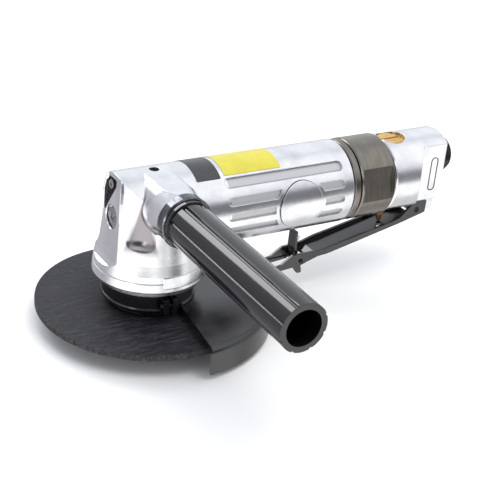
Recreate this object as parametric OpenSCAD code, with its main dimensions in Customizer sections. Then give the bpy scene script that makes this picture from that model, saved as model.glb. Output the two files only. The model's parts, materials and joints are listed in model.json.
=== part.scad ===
// Air angle grinder with a depressed lever throttle, side handle and swivelling guard.
// X runs from the spindle to the air inlet, -Y to the side handle, Z up the spindle.
// The origin is on the spindle's axis, on the end face of its thread.

/* [Wheel] */
// Diameter of the abrasive wheel
wheel_d = 115; // [100:1:125]
// Thickness of the abrasive wheel
wheel_t = 3; // [2:0.5:6]
// Bore of the abrasive wheel
wheel_bore_d = 22.2; // [20:0.1:23]
// Thickness of the nut under the wheel
wheel_nut_t = 7; // [5:0.5:10]
// Diameter of the nut under the wheel
wheel_nut_d = 38; // [32:1:42]
// Diameter of the flange above the wheel
flange_d = 42.4; // [36:0.2:43]
// Thread that stands out below the wheel nut
thread_out = 3; // [1:0.5:6]

/* [Head] */
// Height of the motor's axis above the top face of the wheel
head_h = 49.5; // [48.5:0.5:56]
// Diameter of the steel bearing cap under the head
cap_d = 53.7; // [52:0.1:56]
// Height of the cap's visible edge
cap_edge_h = 3.2; // [2.8:0.1:4]
// Distance from the motor's axis down to the cap's edge
cap_drop = 31.6; // [31:0.1:33]
// Widest diameter of the head's bell
bell_d = 57.2; // [56:0.2:60]
// Diameter of the head's column at its top
crown_d = 42; // [41:0.2:43]
// Radius of each flute beside the handle boss
flute_r = 12; // [8:0.5:14]
// Distance from the spindle to the bottom of a flute
flute_floor_r = 21.6; // [21:0.1:23]
// Direction of each flute from the front
flute_angle = 52; // [48:1:56]
// Distance from the spindle to the flat face on the head's front
front_x = 22.3; // [21.8:0.1:22.6]
// Width of the flat front face
front_w = 18.2; // [17:0.2:19]
// Diameter of the plug in the front face
front_plug_d = 10.2; // [8:0.2:10.4]
// Height of the exhaust window's top over the motor's axis
exhaust_top = 20; // [18.5:0.1:20.4]
// Diameter of the grease hole in the crown
crown_hole_d = 5.2; // [3:0.1:7]

/* [Spindle] */
// Diameter of the wheel thread
thread_d = 14; // [12:0.5:15]
// Diameter of the spindle through the seal
spindle_d = 17; // [16:0.5:19]
// Bore of the spindle's lower bearing
low_bearing_bore = 12; // [11:0.5:13]
// Outside diameter of the spindle's lower bearing
low_bearing_od = 28; // [26:1:30]
// Height of the spindle's lower bearing
low_bearing_h = 8; // [7:0.5:9]
// Diameter of the spindle in its upper bush
spindle_top_d = 8; // [6:0.5:9]
// Diameter of the spindle under the bevel gear
gear_seat_d = 10; // [9.5:0.5:11]

/* [Gears] */
// Teeth on the spindle's bevel gear
gear_teeth = 21; // [21:1:21]
// Teeth on the motor's bevel pinion
pinion_teeth = 11; // [11:1:11]
// Size of a tooth at its large end, as pitch diameter over teeth
tooth_module = 1.6; // [1.4:0.05:1.65]
// Width of the toothed face
face_w = 6.2; // [5:0.1:6.5]
// Free play between the flanks, along the pitch circle
backlash = 0.16; // [0.1:0.01:0.3]

/* [Barrel] */
// Diameter of the motor barrel
barrel_d = 45; // [44:0.5:48]
// Distance from the spindle to the barrel's rear edge
barrel_end = 108.3; // [104:0.1:116]
// Width of a grip groove
groove_w = 4; // [2:0.1:5]
// Depth of a grip groove
groove_depth = 1.1; // [0.5:0.1:1.8]
// Distance between the centres of two grip grooves
groove_pitch = 8; // [7:0.1:9]
// Diameter of the round pad on each side
pad_d = 26; // [20:0.5:28]
// Height of the round pad above the barrel
pad_h = 0.8; // [0.3:0.1:1.2]
// Distance from the spindle to the pad's centre
pad_x = 75; // [70:0.5:80]

/* [Motor] */
// Outside diameter of the motor cylinder
liner_d = 34; // [33:0.5:35]
// Bore of the motor cylinder
liner_bore = 27.6; // [27:0.1:28]
// Diameter of the rotor
rotor_d = 24.8; // [24:0.1:25]
// Length of the rotor between the end plates
rotor_len = 52; // [45:0.5:56]
// Number of vanes
vane_count = 5; // [4:1:6]
// Thickness of a vane
vane_t = 1.6; // [1:0.1:2.5]
// Depth of a vane
vane_depth = 6.2; // [5:0.1:7]
// Diameter of the rotor's shaft
shaft_d = 8; // [7:0.5:8.5]
// Outside diameter of a rotor bearing
rotor_bearing_od = 19; // [18:0.5:20]
// Width of a rotor bearing
rotor_bearing_w = 6; // [5:0.5:7]

/* [Clamp nut] */
// Outside diameter of the clamp nut
nut_d = 44.7; // [43.5:0.1:48]
// Length of the clamp nut
nut_len = 22.1; // [20:0.1:26]
// Distance across the clamp nut's two flats
nut_flats = 40.8; // [40.6:0.1:42]
// Turn at which the tightened nut stops
nut_turn = 10; // [0:1:30]
// Width of the bare gap in front of the clamp nut
nut_gap = 1.3; // [1:0.1:2]
// Width of the index ring in front of the clamp nut
ring_w = 3.5; // [2:0.1:5]

/* [Valve housing] */
// Diameter of the valve housing
valve_body_d = 42.7; // [42:0.1:44]
// Distance from the spindle to the valve housing's rear face
rear_end = 176.5; // [175:0.5:180]
// Distance from the spindle to the throttle valve
valve_x = 144.5; // [143.5:0.5:147]
// Width of the block behind the lever's pivot
block_w = 25; // [24:0.2:27]
// Depth of that block's underside below the motor's axis
block_drop = 15.4; // [15:0.1:16]
// Height of the air inlet above the motor's axis
inlet_rise = 6.3; // [5:0.1:6.5]
// Distance from the spindle to the end of the inlet bushing
inlet_end = 183; // [181:0.5:190]
// Distance across the flats of the inlet bushing
inlet_flats = 18.6; // [18:0.1:20]
// Bore of the inlet thread
inlet_bore_d = 11.6; // [10:0.1:13]
// Depth of the inlet thread
inlet_depth = 14; // [10:0.5:15]
// Diameter of the brass valve plug's head
plug_d = 15.5; // [13:0.5:16]
// Diameter of the valve stem
stem_d = 3; // [2.4:0.1:3.4]

/* [Lever] */
// Distance from the spindle to the lever's pivot
pivot_x = 164.5; // [164:0.5:167]
// Depth of the lever's pivot below the motor's axis
pivot_drop = 23.5; // [23.3:0.1:24]
// Diameter of the lever's pivot pin
pivot_d = 3.4; // [2.8:0.1:3.6]
// Width of the lever under the hand
lever_w = 16.6; // [16:0.1:17.2]
// Width of the lever at its tip
lever_tip_w = 12.6; // [12.4:0.1:13]
// Thickness of the lever's sheet
lever_t = 1.5; // [1:0.1:1.8]
// Distance from the spindle to the lever's tip
lever_tip = 69.5; // [68:0.5:71]
// Distance from the spindle to the safety catch's pin
catch_x = 90.1; // [89:0.1:91]
// Width of the safety catch at its pin
catch_w = 7.6; // [7:0.1:7.8]
// Thickness of the safety catch
catch_t = 1.5; // [1:0.1:1.8]
// Length of the safety catch above its pin
catch_up = 16.8; // [15:0.1:17]
// Length of the safety catch below its pin
catch_down = 10.5; // [9:0.1:11]

/* [Side handle] */
// Outside diameter of the side handle
handle_d = 23.3; // [22:0.1:26]
// Bore of the side handle
handle_bore = 17.5; // [16.5:0.1:19]
// Distance from the spindle to the side handle's free end
handle_end = 139.7; // [110:0.5:150]
// Height of the side handle above the motor's axis
handle_rise = 9.6; // [9:0.1:10]
// Number of grooves along the side handle
handle_grooves = 8; // [6:1:10]
// Diameter of the handle bolt's thread
handle_thread_d = 10; // [8:0.5:10]
// Distance from the spindle to the end of the handle boss
boss_end = 31.5; // [30:0.1:34]
// Distance from the spindle to the far handle socket's face
socket_face = 19.2; // [18.6:0.1:20]
// Diameter of the handle boss at its root
boss_d = 28.8; // [27:0.1:30]
// Diameter of the handle's collar
collar_d = 26.8; // [26:0.1:28]
// Length of the handle's collar
collar_len = 5.5; // [4:0.1:8]

/* [Guard] */
// Outside diameter of the guard
guard_d = 130; // [128:0.5:136]
// Thickness of the guard's sheet
guard_t = 1.8; // [1.2:0.1:2]
// Height of the guard's skirt
guard_h = 14.8; // [12:0.1:17]
// Outside radius of the bend between the guard's plate and skirt
guard_bend = 3; // [2:0.1:5]
// Diameter of the neck that the guard turns on
neck_d = 41; // [39:0.5:41.4]
// Wall of the guard's clamp band
band_t = 3.3; // [2:0.1:3.6]

/* [Clearances] */
// Radial clearance of a shaft that runs in a bore
run_gap = 0.04; // [0.03:0.01:0.08]
// Radial clearance of a piece that is pressed or screwed home
seat_gap = 0.02; // [0.02:0.01:0.05]
// Clearance between pieces that slide past each other
slide_gap = 0.4; // [0.3:0.05:0.5]

/* [Hidden] */
$fn = 96;
far = 200;

wheel_top = thread_out + wheel_nut_t + wheel_t;
axis_h = wheel_top + head_h;
barrel_r = barrel_d / 2;
bell_r = bell_d / 2;
cap_r = cap_d / 2;
neck_r = neck_d / 2;

// Depths below the motor's axis, down the head
cap_bottom = cap_drop + cap_edge_h;
guard_top = head_h - 4.6;
band_top = cap_bottom + 1.4;
neck_bottom = guard_top - 0.1;
flange_t = 3.5;
flange_top = head_h - flange_t;
bearing_top = cap_drop - 14.6;
bearing_bottom = bearing_top + low_bearing_h;

// Bevel gears: cone angles and cone distance, with the apex where the two axes cross
pinion_cone = atan(pinion_teeth / gear_teeth);
gear_cone = 90 - pinion_cone;
gear_r = gear_teeth * tooth_module / 2;
pinion_r = pinion_teeth * tooth_module / 2;
cone_dist = norm([gear_r, pinion_r]);
pressure_angle = 20;
shift = 0.25;
pinion_add = 1.1 * tooth_module;
gear_add = 0.65 * tooth_module;
root_gap = 0.25 * tooth_module;
gear_hub_top = 5;
gear_hub_bottom = bearing_top - 0.5;

// The head's chamber and the bores behind it
chamber_r = 18.6;
chamber_top = 2;
tunnel_r = 12;
plate_w = 11;
bush_h = 11;
bush_r = spindle_top_d / 2 + 2;
bush_bottom = 4;
motor_front = 25.5;
liner_r = liner_d / 2;
liner_start = motor_front + plate_w;
liner_end = liner_start + rotor_len;
plate_end = liner_end + plate_w;
offset_z = liner_bore / 2 - rotor_d / 2 - 0.1;

// The rear joint
barrel_neck_r = liner_r + 1.8;
barrel_neck_end = barrel_end + 14;
ring_start = barrel_end + 0.6;
nut_start = ring_start + ring_w + nut_gap;
nut_end = nut_start + nut_len;
nut_lip = 4.7;
valve_start = nut_end + 0.8;
valve_r = valve_body_d / 2;
spigot_r = liner_r + 0.2;

// The valve, down its own axis
seat_z = -7;
seat_h = 4;
seat_bore_r = stem_d / 2 + 1.5;
chamber_valve_r = 5.4;
plug_thread_r = 6.2;
plug_bottom = 11;
plug_head_z = sqrt(pow(valve_r, 2) - pow(plug_d / 2, 2)) - 0.6;
bushing_r = 3.2;
bushing_bottom = -valve_r - 4.2;
poppet_h = 3;

// The lever's lower edge: places along its run and drops below the motor's axis
lever_back = pivot_x + 6.4;
web_back = pivot_x - 10;
web_back_drop = pivot_drop + 6.5;
web_mid = catch_x + 17.7;
web_mid_drop = web_back_drop + 10.1;
web_step = catch_x + 10;
web_step_drop = web_mid_drop + 1.3;
web_low = catch_x;
web_low_drop = web_step_drop + 4.5;
web_tip_drop = web_low_drop + 1.6;
web_end = pivot_x - 2.2;
web_slope = (web_mid_drop - web_back_drop) / (web_back - web_mid);
catch_drop = web_low_drop - 2.6;
catch_bend = 2.45;
catch_pin_d = 2.5;
web_top = web_back_drop + (web_back - valve_x) * web_slope - lever_t / cos(atan(web_slope));
stem_tip = web_top - 0.3;
lug_w = lever_w - 2 * lever_t - 2 * slide_gap;

// Moves a piece drawn about the motor's axis up to its height over the spindle's tip
module at_axis() { translate([0, 0, axis_h]) children(); }

// A cylinder along X from one distance to another
module x_cyl(x0, x1, r) { translate([x0, 0, 0]) rotate([0, 90, 0]) cylinder(h = x1 - x0, r = r); }

// A cylinder up Z from one height to another
module z_cyl(z0, z1, r) { translate([0, 0, z0]) cylinder(h = z1 - z0, r = r); }

// A ring up Z
module z_ring(z0, z1, r_out, r_in) {
    difference() {
        z_cyl(z0, z1, r_out);
        z_cyl(z0 - 1, z1 + 1, r_in);
    }
}

// A ring along X
module x_ring(x0, x1, r_out, r_in) {
    difference() {
        x_cyl(x0, x1, r_out);
        x_cyl(x0 - 1, x1 + 1, r_in);
    }
}

// Outline round circles of one radius on the corners of an outline, given anticlockwise
function edge_turn(a, b) = atan2(b[1] - a[1], b[0] - a[0]) - 90;
module rounded(corners, r, steps) {
    n = len(corners);
    polygon([for (i = [0 : n - 1])
        let (a = edge_turn(corners[(i + n - 1) % n], corners[i]), b = edge_turn(corners[i], corners[(i + 1) % n]),
            turn = b < a ? b + 360 - a : b - a)
        for (k = [0 : steps]) corners[i] + r * [cos(a + turn * k / steps), sin(a + turn * k / steps)]]);
}

// Both halves of an outline drawn to the right of its middle line
module both_halves() {
    children();
    mirror([1, 0]) children();
}

// Both sides of something drawn on the -Y side
module both_sides() {
    children();
    mirror([0, 1, 0]) children();
}

// A revolved outline about X, given as distances along X and radii
module x_revolve(points) {
    rotate([90, 0, 90]) rotate_extrude() polygon([for (p = points) [p[1], p[0]]]);
}

// Socket head cap screw along +X, its head's outer face at x = 0
module cap_screw(head_r, head_h, thread_r, length) {
    difference() {
        union() {
            x_cyl(0, head_h, head_r);
            x_cyl(0, length, thread_r);
        }
        rotate([0, 90, 0]) translate([0, 0, -1]) cylinder(h = head_h * 0.6 + 1, r = head_r * 0.55, $fn = 6);
    }
}

// Radius of the head's column at a height over the motor's axis
function column_r(z) = crown_d / 2 + (barrel_r - z) * 0.158;

// The flat face on the head's front leans back a little, blends out into the bell, and has splayed sides
front_lean = 4;
front_splay = 57;
module front_cut() {
    out = 60;
    difference() {
        translate([0, 40, 0]) rotate([90, 0, 0]) linear_extrude(80)
            polygon([[front_slope(26), 26], [-out, 26], [-out, -23.8], [-bell_r, -23.8], [-bell_r + 2, -22.4],
                [-bell_r + 3.7, -20.4], [front_slope(-17.8) - 0.35, -17.8], [front_slope(-14.5), -14.5]]);
        for (side = [-1, 1])
            translate([-front_x, side * front_w / 2, 0]) rotate([0, 0, -side * front_splay])
                translate([-out, side > 0 ? 0 : -out, -out]) cube([2 * out, out, 2 * out]);
    }
}

// The head's front is squarer than its column, so the front face keeps its width up to the crown
module front_corners() {
    w = front_w / 2;
    translate([-bell_r, 0, 0]) rotate([90, 0, 90]) linear_extrude(bell_r - 5) both_halves()
        polygon([[-1, -6], [w, -6], [w + 0.3, 0], [w + 0.5, 5], [w + 0.5, 11], [w - 0.2, 16.4], [w - 1, 19.8],
            [w - 1.9, barrel_r], [-1, barrel_r]]);
}

// Where the front face stands at a height over the motor's axis
function front_slope(z) = -front_x + z * tan(front_lean);

module head_outside() {
    difference() {
        intersection() {
            union() {
                // Bell and column
                rotate_extrude()
                    polygon([
                        [0, -cap_drop + 0.1], [cap_r + 0.1, -cap_drop + 0.1], [bell_r - 0.2, -28.3],
                        [bell_r, -26.5], [bell_r - 0.3, -23.5], [column_r(-18) - 0.2, -18],
                        [column_r(barrel_r), barrel_r], [0, barrel_r]
                    ]);
                front_corners();
            }
            union() {
                x_cyl(-60, 60, barrel_r);
                translate([-60, -60, -60]) cube([120, 120, 60]);
            }
        }
        flute();
        front_cut();
    }
    boss();
}

// A flute between the column and the handle boss, with a rounded foot
module flute() {
    foot_r = 5;
    foot_z = -11;
    rotate([0, 0, flute_angle]) translate([-flute_floor_r - flute_r, 0, foot_z]) rotate_extrude() {
        square([flute_r - foot_r, 60]);
        translate([0, foot_r]) square([flute_r, 60 - foot_r]);
        translate([flute_r - foot_r, foot_r]) intersection() {
            circle(r = foot_r);
            translate([0, -foot_r]) square(foot_r);
        }
    }
}

// A tapered boss that the side handle is bolted to, cut level with the crown
module boss() {
    intersection() {
        translate([0, 0, handle_rise]) rotate([90, 0, 0]) {
            cylinder(h = 23, r = boss_d / 2);
            translate([0, 0, 23]) cylinder(h = boss_end - 23, r1 = boss_d / 2, r2 = collar_d / 2 - 0.8);
        }
        translate([-50, -50, barrel_r - 0.2 - 60]) cube([100, 100, 60]);
    }
}

// Outline of the grooves on one side of the barrel, in X and Z: three stop at the pad, the top one doesn't
module groove_plan() {
    difference() {
        for (row = [-1 : 1]) groove_row(row);
        translate([pad_x, 0]) circle(r = pad_d / 2 + 2.2);
    }
    groove_row(2);
}

module groove_row(row) {
    translate([0, row * groove_pitch])
        rounded([[32 + groove_w / 2, 0], [barrel_end - 6 - groove_w / 2, 0]], groove_w / 2, 12);
}

module grooves() {
    intersection() {
        rotate([90, 0, 0]) linear_extrude(barrel_r + 2) groove_plan();
        difference() {
            x_cyl(20, barrel_end, barrel_r + 2);
            x_cyl(19, barrel_end + 1, barrel_r - groove_depth);
        }
    }
}

// A raised round pad that follows the barrel
module pad() {
    intersection() {
        translate([pad_x, 0, 0]) rotate([90, 0, 0]) cylinder(h = barrel_r + 2, r = pad_d / 2);
        x_cyl(pad_x - 20, pad_x + 20, barrel_r + pad_h);
    }
}

// The exhaust window lies on the front face, beside the plug; drawn with x towards the side handle
module on_front_face() {
    translate([-front_x, 0, 0]) rotate([0, front_lean, 0]) rotate([90, 0, -90]) children();
}

// Outline of the exhaust window, grown or shrunk all round; one side slants down past the plug
module exhaust_plan(grow) {
    side = front_w / 2 - 1.1;
    rounded([[-side, 2.4], [-side + 0.25, 2.4], [window_near - 1, exhaust_top - 3.2], [window_near - 1, exhaust_top - 1],
        [-side + 2.8, exhaust_top - 1], [-side + 0.7, exhaust_top - 4], [-side, exhaust_top - 8]], 1 + grow, 8);
}
window_near = 2;
window_pocket = 1.8;
exhaust_screw_at = [-2.8, exhaust_top - 3.5];
front_plug_r = front_plug_d / 2;
plug_sink = 0.9;
plug_head = 2;
front_thread_r = 1.5;
front_plug_len = 7;

module main_housing() {
    at_axis() color("silver") difference() {
        union() {
            head_outside();
            x_revolve([[0, 0], [0, barrel_r], [barrel_end - 0.6, barrel_r], [barrel_end, barrel_r - 0.6],
                [barrel_end, barrel_neck_r], [barrel_neck_end, barrel_neck_r], [barrel_neck_end, 0]]);
            both_sides() pad();
        }
        // Exhaust face and pocket
        on_front_face() translate([0, 0, -window_pocket]) linear_extrude(window_pocket + 5) exhaust_plan(0);
        on_front_face() translate([exhaust_screw_at[0], exhaust_screw_at[1], -window_pocket - 6])
            cylinder(h = 12, r = 1.5 + seat_gap);
        x_cyl(-40, plug_sink + plug_head - front_x, front_plug_r + 0.9);
        x_cyl(-40, plug_sink + front_plug_len - front_x + 0.5, front_thread_r + seat_gap);
        on_front_face() translate([0, 0, -0.5]) cylinder(h = 2, r1 = front_plug_r + 0.9, r2 = front_plug_r + 2.1);
        // Gear chamber, pinion tunnel, motor bore
        z_cyl(-cap_drop - 1, -chamber_top, chamber_r);
        x_cyl(pinion_front - 2, motor_front + 1, tunnel_r);
        x_cyl(motor_front, barrel_neck_end + 1, liner_r + seat_gap);
        // Upper bush and the hole in the crown
        z_cyl(-chamber_top - 1, bush_bottom + bush_h, bush_r + seat_gap);
        z_cyl(0, far, crown_hole_d / 2);
        // Threads for the side handle: in the boss, and flush on the far side
        translate([0, -boss_end - 1, handle_rise]) rotate([-90, 0, 0])
            cylinder(h = boss_end - 12.5, r = handle_thread_d / 2 + seat_gap);
        translate([0, 0, handle_rise]) rotate([-90, 0, 0]) {
            translate([0, 0, 8.5]) cylinder(h = far, r = handle_thread_d / 2 + seat_gap);
            translate([0, 0, socket_face]) cylinder(h = far, r = 7);
        }
        // Threads for the bearing cap's screws
        for (a = [45 : 90 : 315])
            rotate([0, 0, a]) translate([cap_screw_r, 0, 0]) z_cyl(-cap_drop - 1, -cap_drop + 8, 1.5 + seat_gap);
        both_sides() grooves();
        // Dowel grooves in the motor bore
        translate([0, 0, -liner_r]) x_cyl(motor_front, barrel_neck_end + 1, dowel_r + seat_gap);
    }
}

cap_screw_r = (neck_r + 0.6 + cap_r) / 2;
dowel_r = 1.2;

module exhaust_plate() {
    plate_t = 1.2;
    pitch = 2.1;
    at_axis() color("dimgray") on_front_face() difference() {
        translate([0, 0, -window_pocket]) linear_extrude(plate_t) exhaust_plan(-0.05);
        translate([exhaust_screw_at[0], exhaust_screw_at[1], -window_pocket - 1]) cylinder(h = 5, r = 1.6);
        for (row = [0 : 5])
            for (i = [0 : 3]) {
                at = [-front_w / 2 + 1.9 + i * pitch, 6.6 + row * pitch];
                if (at[0] < window_near - 2.3 - (exhaust_top - 3 - at[1]) * 0.61 && norm(at - exhaust_screw_at) > 3.2)
                    translate([at[0], at[1], -window_pocket - 1]) cylinder(h = 5, r = 0.65, $fn = 24);
            }
    }
}

module exhaust_screw() {
    at_axis() color("silver") on_front_face()
        translate([exhaust_screw_at[0], exhaust_screw_at[1], -window_pocket + 1.2 + 1.1]) rotate([0, 90, 0])
            cap_screw(2.4, 1.1, 1.5, 6);
}

// Screwed plug in line with the pinion
module front_plug() {
    at_axis() color("silver")
        translate([plug_sink - front_x, 0, 0]) cap_screw(front_plug_r, plug_head, front_thread_r, front_plug_len);
}

module bearing_cap() {
    pocket_r = low_bearing_od / 2 + seat_gap;
    at_axis() color("gray") difference() {
        union() {
            z_cyl(-cap_bottom, -cap_drop, cap_r);
            z_cyl(-cap_drop, -bearing_top, chamber_r - seat_gap);
            z_cyl(-neck_bottom, -cap_bottom, neck_r);
        }
        z_cyl(-bearing_bottom, -bearing_top + 1, pocket_r);
        z_cyl(-neck_bottom - 1, 0, spindle_d / 2 + 1);
        z_cyl(-neck_bottom - 1, -neck_bottom + seal_h, seal_r + seat_gap);
        for (a = [45 : 90 : 315])
            rotate([0, 0, a]) translate([cap_screw_r, 0, 0]) {
                z_cyl(-cap_bottom - 1, -cap_drop + 1, 1.65);
                z_cyl(-cap_bottom - 1, -cap_bottom + 1.7, 2.75);
            }
    }
}

seal_h = 6;
seal_r = 13;

module cap_screws() {
    at_axis() color("dimgray")
        for (a = [45 : 90 : 315])
            rotate([0, 0, a]) translate([cap_screw_r, 0, -cap_bottom]) rotate([0, -90, 0])
                cap_screw(2.6, 1.6, 1.5, 9);
}

module upper_bush() {
    at_axis() color("gainsboro") z_ring(-chamber_top + 6, bush_bottom + bush_h, bush_r, spindle_top_d / 2 + run_gap);
}

// Races and balls of a deep groove bearing about Z, between its bore and outside radii
function ball_r(r_in, r_out) = (r_out - r_in) * 0.28;
function pitch_r(r_in, r_out) = (r_out + r_in) / 2;

module race_outer(z0, h, r_in, r_out) {
    difference() {
        z_ring(z0, z0 + h, r_out, pitch_r(r_in, r_out) + ball_r(r_in, r_out) * 0.55);
        translate([0, 0, z0 + h / 2]) ball_track(r_in, r_out);
    }
}

module race_inner(z0, h, r_in, r_out) {
    difference() {
        z_ring(z0, z0 + h, pitch_r(r_in, r_out) - ball_r(r_in, r_out) * 0.55, r_in);
        translate([0, 0, z0 + h / 2]) ball_track(r_in, r_out);
    }
}

module ball_track(r_in, r_out) {
    rotate_extrude() translate([pitch_r(r_in, r_out), 0]) circle(r = ball_r(r_in, r_out) + run_gap, $fn = 48);
}

module race_balls(z0, h, r_in, r_out, count) {
    for (i = [0 : count - 1])
        rotate([0, 0, i * 360 / count]) translate([pitch_r(r_in, r_out), 0, z0 + h / 2])
            sphere(r = ball_r(r_in, r_out), $fn = 48);
}

// Lays a bearing drawn about Z along X
module lay_x(x0) { translate([x0, 0, 0]) rotate([0, 90, 0]) children(); }

low_in = low_bearing_bore / 2;
low_out = low_bearing_od / 2;
rot_in = shaft_d / 2;
rot_out = rotor_bearing_od / 2;
front_bearing_x = motor_front + 0.5;
rear_bearing_x = plate_end - rotor_bearing_w - 0.5;

module lower_bearing_outer() {
    at_axis() color("lightsteelblue") race_outer(-bearing_bottom, low_bearing_h, low_in, low_out);
}
module lower_bearing_inner() {
    at_axis() color("lightsteelblue") race_inner(-bearing_bottom, low_bearing_h, low_in + seat_gap, low_out);
}
module lower_bearing_balls() {
    at_axis() color("white") race_balls(-bearing_bottom, low_bearing_h, low_in, low_out, 8);
}
module front_bearing_outer() {
    at_axis() color("lightsteelblue") lay_x(front_bearing_x) race_outer(0, rotor_bearing_w, rot_in, rot_out);
}
module front_bearing_inner() {
    at_axis() color("lightsteelblue") lay_x(front_bearing_x)
        race_inner(0, rotor_bearing_w, rot_in + seat_gap, rot_out);
}
module front_bearing_balls() {
    at_axis() color("white") lay_x(front_bearing_x) race_balls(0, rotor_bearing_w, rot_in, rot_out, 7);
}
module rear_bearing_outer() {
    at_axis() color("lightsteelblue") lay_x(rear_bearing_x) race_outer(0, rotor_bearing_w, rot_in, rot_out);
}
module rear_bearing_inner() {
    at_axis() color("lightsteelblue") lay_x(rear_bearing_x)
        race_inner(0, rotor_bearing_w, rot_in + seat_gap, rot_out);
}
module rear_bearing_balls() {
    at_axis() color("white") lay_x(rear_bearing_x) race_balls(0, rotor_bearing_w, rot_in, rot_out, 7);
}

module seal_ring() {
    at_axis() color("black") z_ring(-neck_bottom, -neck_bottom + seal_h, seal_r, spindle_d / 2 + run_gap);
}

// End plate of the motor; the bearing's pocket opens at x0 when flip is 0, else at the far end
module end_plate(x0, flip) {
    pocket_x = flip == 0 ? x0 : x0 + plate_w - rotor_bearing_w - 0.5;
    difference() {
        x_cyl(x0, x0 + plate_w, liner_r);
        x_cyl(pocket_x - 1 + flip, pocket_x + rotor_bearing_w + 0.5 + flip, rot_out + seat_gap);
        x_cyl(x0 - 1, x0 + plate_w + 1, rot_in + 0.6);
        translate([0, 0, -liner_r]) x_cyl(x0 - 1, x0 + plate_w + 1, dowel_r + seat_gap);
        // Air ports
        for (a = [60, 90, 120]) rotate([a, 0, 0]) translate([0, liner_bore / 2 - 1.2, 0])
            x_cyl(x0 - 1, x0 + plate_w + 1, 1.1);
    }
}

module front_end_plate() { at_axis() color("slategray") end_plate(motor_front, 0); }
module rear_end_plate() { at_axis() color("slategray") end_plate(liner_end, 1); }

module motor_cylinder() {
    at_axis() color("darkgray") difference() {
        x_cyl(liner_start, liner_end, liner_r);
        translate([0, 0, offset_z]) x_cyl(liner_start - 1, liner_end + 1, liner_bore / 2);
        translate([0, 0, -liner_r]) x_cyl(liner_start - 1, liner_end + 1, dowel_r + seat_gap);
    }
}

module dowel_pins() {
    at_axis() color("gainsboro") translate([0, 0, -liner_r]) x_cyl(motor_front + 1, plate_end - 1, dowel_r);
}

module motor_spacer() {
    at_axis() color("gray") x_ring(plate_end, barrel_neck_end, liner_r, liner_r - 2.2);
}

module index_ring() {
    at_axis() color("gray")
        x_revolve([[ring_start, barrel_neck_r + seat_gap], [ring_start, nut_d / 2 - 0.5],
            [ring_start + 0.4, nut_d / 2 - 0.1], [ring_start + ring_w, nut_d / 2 - 0.1],
            [ring_start + ring_w, barrel_neck_r + seat_gap]]);
}

module joint_seal() {
    at_axis() color("black")
        x_ring(ring_start + ring_w, nut_start, barrel_neck_r + 1.6, barrel_neck_r + seat_gap);
}

module clamp_nut() {
    r = nut_d / 2;
    thread_r = barrel_neck_r + seat_gap;
    at_axis() color("dimgray") rotate([-nut_turn, 0, 0]) difference() {
        x_revolve([[nut_start, thread_r], [nut_start, r - 0.6], [nut_start + 0.6, r], [nut_end - 0.9, r],
            [nut_end, r - 0.9], [nut_end, spigot_r + seat_gap], [nut_end - nut_lip, spigot_r + seat_gap],
            [nut_end - nut_lip, thread_r]]);
        both_sides() translate([nut_start + 1.2, -nut_flats / 2 - 10, -30]) cube([nut_len - 2.4, 10, 60]);
    }
}

// What a flat side of the rear block cuts away, with the ramp at its front
module side_cut() {
    half = block_w / 2;
    translate([0, 0, -40]) linear_extrude(80)
        polygon([[valve_x + 7.5, -valve_r - 1], [valve_x + 14.8, -half], [rear_end - 1, -half],
            [rear_end + 1, -half + 3], [rear_end + 20, -half + 3], [rear_end + 20, -valve_r - 10],
            [valve_x + 7.5, -valve_r - 10]]);
}

module valve_housing() {
    at_axis() color("silver") difference() {
        union() {
            intersection() {
                x_revolve([[barrel_neck_end + 0.1, 0], [barrel_neck_end + 0.1, barrel_neck_r - 0.4],
                    [nut_end - nut_lip - 0.1, barrel_neck_r - 0.4], [nut_end - nut_lip - 0.1, spigot_r],
                    [valve_start, spigot_r], [valve_start, valve_r - 0.8], [valve_start + 0.8, valve_r],
                    [rear_end - 0.8, valve_r], [rear_end, valve_r - 0.8], [rear_end, 0]]);
                // Flat underside behind the lever's pivot
                union() {
                    translate([0, -50, -block_drop]) cube([300, 100, 100]);
                    translate([0, -50, -50]) cube([pivot_x - 5.2, 100, 100]);
                }
            }
            // Lug between the lever's cheeks, with an eye for the pin
            translate([0, lug_w / 2, 0]) rotate([90, 0, 0]) linear_extrude(lug_w) {
                rounded([[pivot_x - 3.5, 1.5 - pivot_drop], [rear_end - 1.6, -pivot_drop - 0.4],
                    [rear_end - 1.6, 3 - block_drop], [pivot_x - 3.5, 3 - block_drop]], 1.5, 6);
                translate([pivot_x, -pivot_drop]) circle(r = pivot_d / 2 + 1.2);
            }
        }
        both_sides() side_cut();
        // Lever pin
        translate([pivot_x, 20, -pivot_drop]) rotate([90, 0, 0]) cylinder(h = 40, r = pivot_d / 2 + seat_gap);
        // Valve bore, from the plug down to the stem
        translate([valve_x, 0, 0]) {
            z_cyl(seat_z, 40, chamber_valve_r + seat_gap);
            z_cyl(plug_bottom, 40, plug_thread_r + seat_gap);
            z_cyl(plug_head_z - 2.6, 40, plug_d / 2 + 0.2);
            z_cyl(-40, 0, bushing_r + seat_gap);
            z_cyl(seat_z - seat_h, 0, chamber_valve_r + seat_gap);
        }
        // Air way to the motor
        translate([0, 0, seat_z - seat_h - 1.6]) x_cyl(barrel_neck_end - 1, valve_x, 2);
        translate([valve_x, 0, seat_z - seat_h - 5]) z_cyl(0, 6, 4.6);
        // Inlet
        translate([0, 0, inlet_rise]) {
            x_cyl(inlet_seat, far, inlet_thread_r + seat_gap);
            x_cyl(inlet_face, far, inlet_flats / 2 + 2.2);
            x_cyl(valve_x, far, inlet_bore_d / 2 - 1);
        }
    }
}

inlet_thread_r = 8.2;
inlet_seat = rear_end - 13;
inlet_face = rear_end - 0.6;

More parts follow.
